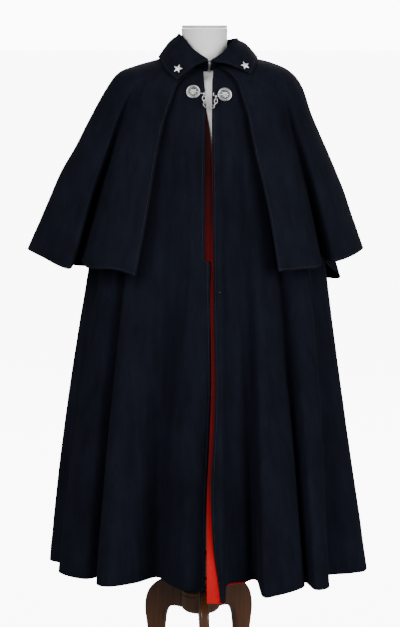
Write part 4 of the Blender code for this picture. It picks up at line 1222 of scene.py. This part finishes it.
class CLOAK_OT_cape(bpy.types.Operator):
    """Drapes the two halves of the shoulder cape and stitches their edges"""

    bl_idname = "cloak.cape"
    bl_label = "Shoulder cape"

    def execute(self, context):
        cloth = context.scene.cloak_cloth
        down = [(0.0, 0.0), (1.0, float(CAPE_HEM))]
        for name, start, end, edges, flat, area in CAPE_HALVES:
            points = laid(cape_point, [(0.0, start), (1.0, end)], down, *CAPE_GRID)
            points += normals_of(points) * stray(points, cloth.unevenness, CAPE_CREASES)[:, :, None]
            half = finished(cloth_mesh(points, edges), name + "_wool", "fulled_navy_wool", "navy_wool", name)
            thickened(half, cloth.wool_thickness)
            lines = [line_at(points, side, cloth.stitch_inset) for side in edges]
            rows = stitched(name, lines, cloth.stitch_pitch)
        return {"FINISHED"}


# The collar's turn at each share of its rows, its columns and rows, and the first row past the fold
COLLAR_DOWN = [(0.0, 0.0), (0.2, 1.0), (0.5, 3.0), (1.0, 6.0)]
COLLAR_GRID = (190, 60)
COLLAR_UPPER_ROW = 16
COLLAR_STAND_GRID = (150, 14)

# How far the tightly sewn collar strays, as a share of the rest of the wool
COLLAR_STRAY = 0.4


class CLOAK_OT_collar(bpy.types.Operator):
    """Turns the collar over its fold line and stitches its edges"""

    bl_idname = "cloak.collar"
    bl_label = "Collar"

    def execute(self, context):
        cloth = context.scene.cloak_cloth
        COLLAR_EDGES.clear()
        COLLAR_EDGES.extend(collar_edges())
        last = len(COLLAR_ROWS) - 1.0
        across = [(0.0, 0.0), (1.0, last)]
        points = laid(collar_point, across, COLLAR_DOWN, *COLLAR_GRID)
        points -= normals_of(points) * stray(points, cloth.unevenness * COLLAR_STRAY, ())[:, :, None]
        mesh = cloth_mesh(points, ("first", "last", "hem"), flip=True)
        fall = finished(mesh, "collar_fall_wool", "fulled_navy_wool", "navy_wool", "collar_fall")
        thickened(fall, cloth.collar_thickness)
        upper = points[COLLAR_UPPER_ROW:]
        lines = [line_at(upper, side, cloth.stitch_inset) for side in ("first", "last", "hem")]
        lines = [[(spot, out * -1.0) for spot, out in line] for line in lines]
        rows = stitched("collar", lines, cloth.stitch_pitch)
        points = laid(collar_stand_point, across, [(0.0, 0.0), (1.0, 1.0)], *COLLAR_STAND_GRID)
        mesh = cloth_mesh(points)
        stand = finished(mesh, "collar_stand_wool", "fulled_navy_wool", "navy_wool", "collar_stand")
        thickened(stand, cloth.collar_thickness, offset=1.0)
        return {"FINISHED"}


# The facing's level past its start at each share of its rows, its columns, and the lining's columns and rows
FACING_DOWN = [(0.0, 0.0), (0.36, 6.0), (1.0, 7.0)]
FACING_WIDE = 60
LINING_GRID = (30, 120)


def facing_grid(high):
    """The facing's outer face as a grid: a margin past the front's edge, then the front's own inner face."""
    folds = steps(0.0, SIDE_SEAM_LEFT * (FACING_COLUMNS - 1) / LEFT_FRONT_STEPS, FACING_WIDE)
    rows = []
    for i in range(high + 1):
        level = 1.0 + shared(FACING_DOWN, i / high)
        points = facing_row(level, folds)
        edge = [a.lerp(b, k / 4) for a, b in zip(points, points[1:3]) for k in range(4)]
        rows.append([tuple(placed(p)) for p in edge + points[2:]])
    return np.array(rows)


class CLOAK_OT_linings(bpy.types.Operator):
    """Lays the red facing inside the left front and the lining behind the front gap"""

    bl_idname = "cloak.linings"
    bl_label = "Facing and lining"

    def execute(self, context):
        cloth = context.scene.cloak_cloth
        points = facing_grid(BODY_ROWS)
        points += normals_of(points) * stray(points, cloth.unevenness, BODY_CREASES)[:, :, None]
        facing = finished(cloth_mesh(points), "front_facing_cloth", "red_facing", "red_facing_cloth", "front_facing")
        thickened(facing, cloth.facing_thickness)
        points = laid(guard_point, [(0.0, 0.0), (1.0, 1.0)], [(0.0, 0.0), (1.0, 1.0)], *LINING_GRID)
        lining = finished(cloth_mesh(points), "upper_lining_cloth", "upper_red", "red_facing_cloth", "upper_lining")
        thickened(lining, cloth.facing_thickness)
        return {"FINISHED"}


def spun(mesh, profile, segments, matrix=None):
    """Turns a profile of radius and height about +Z in an empty mesh and closes it at the axis."""
    line = [mesh.verts.new((radius, 0.0, height)) for radius, height in profile]
    edges = [mesh.edges.new(pair) for pair in zip(line, line[1:])]
    bmesh.ops.spin(
        mesh,
        geom=line + edges,
        cent=(0.0, 0.0, 0.0),
        axis=(0.0, 0.0, 1.0),
        angle=2 * math.pi,
        steps=segments,
        use_merge=True,
    )
    bmesh.ops.remove_doubles(mesh, verts=mesh.verts, dist=0.000002)
    bmesh.ops.recalc_face_normals(mesh, faces=mesh.faces)
    if matrix is not None:
        bmesh.ops.transform(mesh, matrix=matrix, verts=mesh.verts)
    return mesh


def softened(profile, count=3):
    """A profile with its corners rounded, each by points on a short curve."""
    soft = [profile[0]]
    for before, here, after in zip(profile, profile[1:], profile[2:]):
        a, b, c = Vector(before), Vector(here), Vector(after)
        reach = min((a - b).length, (c - b).length, 0.0030) * 0.45
        start = b + (a - b).normalized() * reach
        end = b + (c - b).normalized() * reach
        for k in range(count + 1):
            t = k / count
            soft.append(tuple((1 - t) ** 2 * start + 2 * t * (1 - t) * b + t * t * end))
    soft.append(profile[-1])
    return soft


def boss_frame(x, z, guess):
    """Where a boss sits on the body: its own axes as a matrix, its middle on the cloth."""
    fold, level = found(body_point, x, z, guess, 2.2)
    out = body_normal(fold, level)
    return seat(body_point(fold, level) + out * BOSS_SEAT, out)


# A boss's sunk ground, its ring of beads and its middle, and the two rings of petals: turn, reach, size and height
GROUND_RADIUS = 0.0127
BEAD_RING = 0.0117
BEAD_Z = 0.0021
BEAD_RADIUS = 0.00105
DOME_Z = 0.0036
DOME_RADIUS = 0.0021
PETAL_RINGS = (
    (0.0, 0.0055, (0.0030, 0.00165, 0.0011), 0.0024),
    (0.5, 0.0036, (0.0021, 0.00120, 0.0012), 0.0033),
)
PETAL_LEAN = math.radians(14.0)


def boss_mesh(matrix, beads, petals):
    """A round clasp boss: a rolled rim, a ring of beads, a dished plate and a plain rosette."""
    mesh = bmesh.new()
    profile = [(0.0, 0.0), (0.0146, 0.0), (0.0152, 0.0004), (0.0155, 0.0012), (0.0154, 0.0021), (0.0149, 0.0028)]
    profile += [(0.0141, 0.0031), (0.0133, 0.0029), (0.0128, 0.0023), (0.0126, 0.0019), (0.0108, 0.0019)]
    profile += [(0.0104, 0.0024), (0.0099, 0.0027), (0.0094, 0.0024), (0.0091, 0.0019)]
    profile += [(0.0070, 0.0022), (0.0, 0.0029)]
    spun(mesh, profile, 64)
    for face in mesh.faces:
        middle = face.calc_center_median()
        if math.hypot(middle.x, middle.y) < GROUND_RADIUS and middle.z > 0.001 and face.normal.z > 0.85:
            face.material_index = 1
    for k in range(beads):
        a = 2 * math.pi * k / beads
        spot = Matrix.Translation((BEAD_RING * math.cos(a), BEAD_RING * math.sin(a), BEAD_Z))
        bmesh.ops.create_uvsphere(mesh, u_segments=10, v_segments=6, radius=BEAD_RADIUS, matrix=spot)
    for ring, reach, size, high in PETAL_RINGS:
        for k in range(petals):
            turn = Matrix.Rotation(2 * math.pi * (k + ring) / petals, 4, "Z")
            lean = Matrix.Rotation(PETAL_LEAN, 4, "Y")
            spot = Matrix.Translation((reach, 0.0, high))
            shape = Matrix.Diagonal((*size, 1.0))
            petal = turn @ spot @ lean @ shape
            bmesh.ops.create_uvsphere(mesh, u_segments=12, v_segments=8, radius=1.0, matrix=petal)
    dome_at = Matrix.Translation((0.0, 0.0, DOME_Z)) @ Matrix.Diagonal((1.0, 1.0, 0.85, 1.0))
    bmesh.ops.create_uvsphere(mesh, u_segments=20, v_segments=12, radius=DOME_RADIUS, matrix=dome_at)
    bmesh.ops.transform(mesh, matrix=matrix, verts=mesh.verts)
    return mesh


def wire_object(name, path, radius, closed, look, slot_name, node):
    """Round wire along a smooth path, from a curve with a bevel."""
    curve = bpy.data.curves.new(name, "CURVE")
    curve.dimensions = "3D"
    curve.bevel_depth = radius
    curve.bevel_resolution = 4
    curve.resolution_u = 6
    curve.use_fill_caps = not closed
    line = curve.splines.new("BEZIER")
    line.bezier_points.add(len(path) - 1)
    for spot, place in zip(line.bezier_points, path):
        spot.co = placed(place)
        spot.handle_left_type = "AUTO"
        spot.handle_right_type = "AUTO"
    line.use_cyclic_u = closed
    helper = bpy.data.objects.new(name + "_curve", curve)
    bpy.context.scene.collection.objects.link(helper)
    depsgraph = bpy.context.evaluated_depsgraph_get()
    made_mesh = bpy.data.meshes.new_from_object(helper.evaluated_get(depsgraph))
    bpy.data.objects.remove(helper, do_unlink=True)
    mesh = bmesh.new()
    mesh.from_mesh(made_mesh)
    bpy.data.meshes.remove(made_mesh)
    bmesh.ops.remove_doubles(mesh, verts=mesh.verts, dist=0.00001)
    bmesh.ops.recalc_face_normals(mesh, faces=mesh.faces)
    return finished(mesh, name, look, slot_name, node)


class CLOAK_OT_clasp(bpy.types.Operator):
    """Makes the two bosses, the hook, the eye and the chain between them"""

    bl_idname = "cloak.clasp"
    bl_label = "Clasp"

    def execute(self, context):
        metal = context.scene.cloak_metal
        last = len(BODY_FOLDS) - 1.0
        faces = []
        for name, (x, z), guess in (("boss_left", BOSS_LEFT, 2.0), ("boss_right", BOSS_RIGHT, last - 1.5)):
            matrix = boss_frame(x, z, guess)
            mesh = boss_mesh(matrix, metal.beads, metal.petals)
            boss = finished(mesh, name + "_silver", "polished_silver", "silver_metal", name, sharp=55.0)
            boss.data.materials.append(material_named("darkened_silver"))
            faces.append(matrix @ Vector((0.0, 0.0, BOSS_HEIGHT + WIRE + GAP)) - Vector((AXIS_X, AXIS_Y, 0.0)))
        start, end = chain_ends()
        for name, face, eye, way in (("clasp_hook", faces[1], start, 1), ("clasp_eye", faces[0], end, -1)):
            path = arm_path(face, eye, way)
            wire_object(name + "_silver", path, metal.wire, False, "polished_silver", "silver_metal", name)
        for i, (spot, along, aside) in enumerate(link_places(start, end)):
            name = f"chain_link_{i + 1}"
            path = link_path(spot, along, aside)
            wire_object(name + "_silver", path, metal.wire, True, "polished_silver", "silver_metal", name)
        return {"FINISHED"}


def star_mesh(centre, out, tilt):
    """A plain five-pointed star with a raised middle and softened points."""
    mesh = bmesh.new()
    bmesh.ops.create_circle(mesh, cap_ends=True, segments=10, radius=STAR_RADIUS)
    for vert in mesh.verts:
        angle = math.atan2(vert.co.x, vert.co.y)
        step = round(math.degrees(angle) / 36.0)
        radius = STAR_RADIUS if step % 2 == 0 else STAR_RADIUS * STAR_WAIST
        vert.co = (radius * math.sin(angle), radius * math.cos(angle), 0.0)
    bottom = list(mesh.faces)
    bmesh.ops.recalc_face_normals(mesh, faces=bottom)
    raised = bmesh.ops.extrude_face_region(mesh, geom=bottom)
    top_verts = [item for item in raised["geom"] if isinstance(item, bmesh.types.BMVert)]
    top_faces = [item for item in raised["geom"] if isinstance(item, bmesh.types.BMFace)]
    bmesh.ops.translate(mesh, vec=(0.0, 0.0, STAR_PLATE), verts=top_verts)
    bmesh.ops.poke(mesh, faces=top_faces, offset=STAR_HEIGHT - STAR_PLATE)
    bmesh.ops.recalc_face_normals(mesh, faces=mesh.faces)
    rim = [e for e in mesh.edges if all(v.co.z > STAR_RIM_Z for v in e.verts) and e.calc_face_angle(0.0) > 0.5]
    bmesh.ops.bevel(
        mesh, geom=rim, offset=STAR_BEVEL, offset_type="OFFSET", segments=2, profile=0.5, affect="EDGES", material=-1
    )
    matrix = seat(centre, out) @ Matrix.Rotation(-math.radians(tilt), 4, "Z")
    bmesh.ops.transform(mesh, matrix=matrix, verts=mesh.verts)
    return mesh


class CLOAK_OT_trim(bpy.types.Operator):
    """Makes the two collar stars, the stud on the left front and the collar's wire hook"""

    bl_idname = "cloak.trim"
    bl_label = "Stars, stud and hook"

    def execute(self, context):
        for name, x, z, guess, tilt in STARS:
            place, turn = found(collar_point, x, z, guess, 4.6)
            out = collar_normal(place, turn)
            mesh = star_mesh(collar_point(place, turn) + out * STAR_SEAT, out, tilt)
            finished(mesh, name + "_silver", "frosted_silver", "silver_metal", name, sharp=20.0)
        fold, level = found(body_point, *STUD, 1.5, 7.05)
        out = body_normal(fold, level)
        matrix = seat(body_point(fold, level) + out * STUD_SEAT, out)
        profile = [(0.0, -0.0004), (0.0015, -0.0004), (0.0018, 0.0004)]
        profile += [(0.0016, 0.0010), (0.0009, 0.0014), (0.0, 0.0015)]
        mesh = spun(bmesh.new(), softened(profile, 2), 24, matrix)
        finished(mesh, "front_stud_silver", "polished_silver", "silver_metal", "front_stud")
        path = [Vector((x, HOOK_Y, z)) for x, z in COLLAR_HOOK]
        wire_object("collar_hook_wire", path, HOOK_WIRE, False, "blackened_wire", "dark_metal", "collar_hook")
        return {"FINISHED"}


# Points round and down the form, and round and along a leg
FORM_GRID = (128, 160)
LEG_GRID = (40, 96)


class CLOAK_OT_form(bpy.types.Operator):
    """Makes the padded form's knit cover and the cap on its neck"""

    bl_idname = "cloak.form"
    bl_label = "Dress form"

    def execute(self, context):
        rows = []
        last = len(FORM_SECTIONS) - 1.0
        wide, high = FORM_GRID
        for i in range(high + 1):
            section = spline(FORM_SECTIONS, last * i / high)
            rows.append([tuple(placed(ring_point(section, 360.0 * j / wide))) for j in range(wide + 1)])
        finished(closed_mesh(rows, 0.00001), "form_cover", "grey_jersey", "grey_form_cloth", "form_torso")
        base = NECK_TOP_Z - CAP_HEIGHT
        profile = [(0.0, base), (0.0492, base), (0.0504, base + 0.0012), (0.0504, NECK_TOP_Z - 0.0014)]
        profile += [(0.0490, NECK_TOP_Z), (0.0, NECK_TOP_Z)]
        axis = Matrix.Translation((AXIS_X, AXIS_Y, 0.0))
        mesh = spun(bmesh.new(), softened(profile), 96, axis)
        finished(mesh, "form_neck_cap_cover", "cap_cloth", "grey_form_cloth", "form_neck_cap")
        return {"FINISHED"}


def leg_mesh(angle, thickness):
    """A shaped board with rounded edges, swept along the table of its two outlines."""
    out = Vector((math.sin(angle), -math.cos(angle), 0.0))
    aside = Vector((math.cos(angle), math.sin(angle), 0.0))
    rows = []
    wide, high = LEG_GRID
    for i in range(high + 1):
        row = spline(LEG_ROWS, (len(LEG_ROWS) - 1.0) * i / high)
        tall = math.hypot(row.outer_r - row.inner_r, row.outer_z - row.inner_z)
        corner = 0.40 * thickness / max(tall, thickness) + 0.12
        ring = []
        for j in range(wide + 1):
            a = 2 * math.pi * j / wide
            side = math.copysign(abs(math.sin(a)) ** 0.40, math.sin(a))
            along = 0.5 - 0.5 * math.copysign(abs(math.cos(a)) ** corner, math.cos(a))
            radius = row.inner_r + (row.outer_r - row.inner_r) * along
            height = max(0.0, row.inner_z + (row.outer_z - row.inner_z) * along)
            point = out * radius + aside * (side * thickness / 2) + Vector((STAND_ASIDE, 0.0, height))
            ring.append(tuple(placed(point)))
        rows.append(ring)
    return closed_mesh(rows, 0.000005)


class CLOAK_OT_stand(bpy.types.Operator):
    """Turns the stand's column, plate and hub, and shapes its three legs"""

    bl_idname = "cloak.stand"
    bl_label = "Stand"

    def execute(self, context):
        stand = context.scene.cloak_stand
        top = FORM_BASE_Z - GAP
        column = [(0.0, 0.3053), (COLUMN_RADIUS, 0.3053), (COLUMN_RADIUS, 0.34), (0.019, 0.35), (0.019, 0.36)]
        column += [(COLUMN_RADIUS, 0.37), (COLUMN_RADIUS, 0.70), (0.032, 0.72), (0.040, top), (0.0, top)]
        plate_top = PLATE_Z + 0.0080
        plate = [(0.0, PLATE_Z), (HUB_RADIUS, PLATE_Z), (HUB_RADIUS, plate_top), (0.040, 0.284), (0.026, 0.292)]
        plate += [(0.022, 0.305), (0.0, 0.305)]
        hub = [(0.0, HUB_BOTTOM_Z), (0.018, HUB_BOTTOM_Z), (0.036, 0.2265), (HUB_RADIUS - 0.004, 0.232)]
        hub += [(HUB_RADIUS, 0.240), (HUB_RADIUS, PLATE_Z - GAP), (0.0, PLATE_Z - GAP)]
        axis = Matrix.Translation((AXIS_X + STAND_ASIDE, AXIS_Y, 0.0))
        for name, profile in (("stand_column", column), ("stand_plate", plate), ("stand_hub", hub)):
            mesh = spun(bmesh.new(), softened(profile), 80, axis)
            finished(mesh, name + "_wood", "varnished_wood", "dark_wood", name)
        for name, angle in (("stand_leg_front", 0.0), ("stand_leg_left", 120.0), ("stand_leg_right", 240.0)):
            mesh = leg_mesh(math.radians(angle + LEG_TURN), stand.leg_thickness)
            finished(mesh, name + "_wood", "varnished_wood", "dark_wood", name)
        return {"FINISHED"}


WHITE = (1.0, 1.0, 1.0, 1.0)

# The lamps: name, place, the point they look at, size and power
LAMPS = (
    ("key_light", (-2.6, -3.4, 3.2), (0.0, 0.0, 0.9), (3.2, 3.2), 225.0),
    ("fill_light", (3.0, -2.8, 2.2), (0.0, 0.0, 0.9), (3.2, 3.2), 205.0),
    ("rim_light", (0.6, 3.2, 3.0), (0.0, 0.0, 1.0), (3.0, 2.0), 110.0),
)
FLOOR_REACH = 120.0
CAMERA_ASIDE = -0.010


def area_light(name, place, target, size, power):
    """A soft lamp that looks at a point."""
    lamp = bpy.data.lights.new(name, "AREA")
    lamp.shape = "RECTANGLE"
    lamp.size, lamp.size_y = size
    lamp.energy = power
    made = bpy.data.objects.new(name, lamp)
    made.location = place
    made.rotation_euler = (Vector(target) - Vector(place)).to_track_quat("-Z", "Y").to_euler()
    bpy.context.scene.collection.objects.link(made)
    return made


class CLOAK_OT_stage(bpy.types.Operator):
    """Sets the floor, the soft lights and the camera"""

    bl_idname = "cloak.stage"
    bl_label = "Floor, lights and camera"

    def execute(self, context):
        scene = context.scene
        stage = scene.cloak_stage
        mesh = bmesh.new()
        bmesh.ops.create_grid(mesh, x_segments=8, y_segments=8, size=FLOOR_REACH)
        data = bpy.data.meshes.new("floor")
        mesh.to_mesh(data)
        mesh.free()
        colour = tuple(stage.floor_colour)
        look = Finish("pale_floor", colour, 0.0, 0.9)
        mottled = look.ramp(look.noise(3.0), (0.3, scaled(colour, 0.985)), (0.7, colour))
        inputs = {"Base Color": mottled, "Emission Color": WHITE, "Emission Strength": stage.floor_glow}
        data.materials.append(look.shaded(inputs))
        floor = bpy.data.objects.new("floor", data)
        scene.collection.objects.link(floor)
        floor.visible_diffuse = False
        floor.visible_glossy = False
        for lamp in LAMPS:
            area_light(*lamp)
        world = bpy.data.worlds.new("studio")
        scene.world = world
        world.use_nodes = True
        tree = world.node_tree
        light = filled(tree, tree.nodes["Background"], {"Color": WHITE, "Strength": stage.surround})
        seen = new_node(tree, "Background", {"Color": WHITE, "Strength": stage.backdrop})
        direct = new_node(tree, "LightPath", {}).outputs["Is Camera Ray"]
        inputs = {"Fac": direct, 1: light.outputs["Background"], 2: seen.outputs["Background"]}
        choice = new_node(tree, "MixShader", inputs)
        filled(tree, tree.nodes["World Output"], {"Surface": choice.outputs["Shader"]})
        lens = bpy.data.cameras.new("camera")
        lens.sensor_width = 36.0
        lens.lens = stage.camera_lens
        camera = bpy.data.objects.new("camera", lens)
        camera.location = (AXIS_X + CAMERA_ASIDE, AXIS_Y - stage.camera_distance, stage.camera_height)
        camera.rotation_euler = (math.radians(90.0) - stage.camera_tilt, 0.0, 0.0)
        scene.collection.objects.link(camera)
        scene.camera = camera
        return {"FINISHED"}


class CLOAK_PT_panel(bpy.types.Panel):
    """Lists the pieces of the cloak and its form"""

    bl_idname = "CLOAK_PT_panel"
    bl_label = "Cloak"
    bl_space_type = "VIEW_3D"
    bl_region_type = "UI"
    bl_category = "Cloak"

    def draw(self, context):
        for step in OPERATORS:
            self.layout.operator(step.bl_idname)
        for settings in SETTINGS:
            group = getattr(context.scene, settings)
            for name in group.bl_rna.properties.keys():
                if name not in ("rna_type", "name"):
                    self.layout.prop(group, name)


OPERATORS = (
    CLOAK_OT_stage,
    CLOAK_OT_form,
    CLOAK_OT_stand,
    CLOAK_OT_body,
    CLOAK_OT_cape,
    CLOAK_OT_collar,
    CLOAK_OT_linings,
    CLOAK_OT_clasp,
    CLOAK_OT_trim,
)
SETTINGS = {
    "cloak_cloth": ClothSettings,
    "cloak_metal": MetalSettings,
    "cloak_stand": StandSettings,
    "cloak_stage": StageSettings,
}


def register():
    for group in SETTINGS.values():
        bpy.utils.register_class(group)
    for settings, group in SETTINGS.items():
        setattr(bpy.types.Scene, settings, bpy.props.PointerProperty(type=group))
    for made in (*OPERATORS, CLOAK_PT_panel):
        bpy.utils.register_class(made)


def unregister():
    for made in (CLOAK_PT_panel, *reversed(OPERATORS)):
        bpy.utils.unregister_class(made)
    for settings, group in SETTINGS.items():
        delattr(bpy.types.Scene, settings)
        bpy.utils.unregister_class(group)


def main():
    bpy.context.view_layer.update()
    register()
    for step in OPERATORS:
        group, name = step.bl_idname.split(".")
        getattr(getattr(bpy.ops, group), name)()


if __name__ == "__main__":
    main()
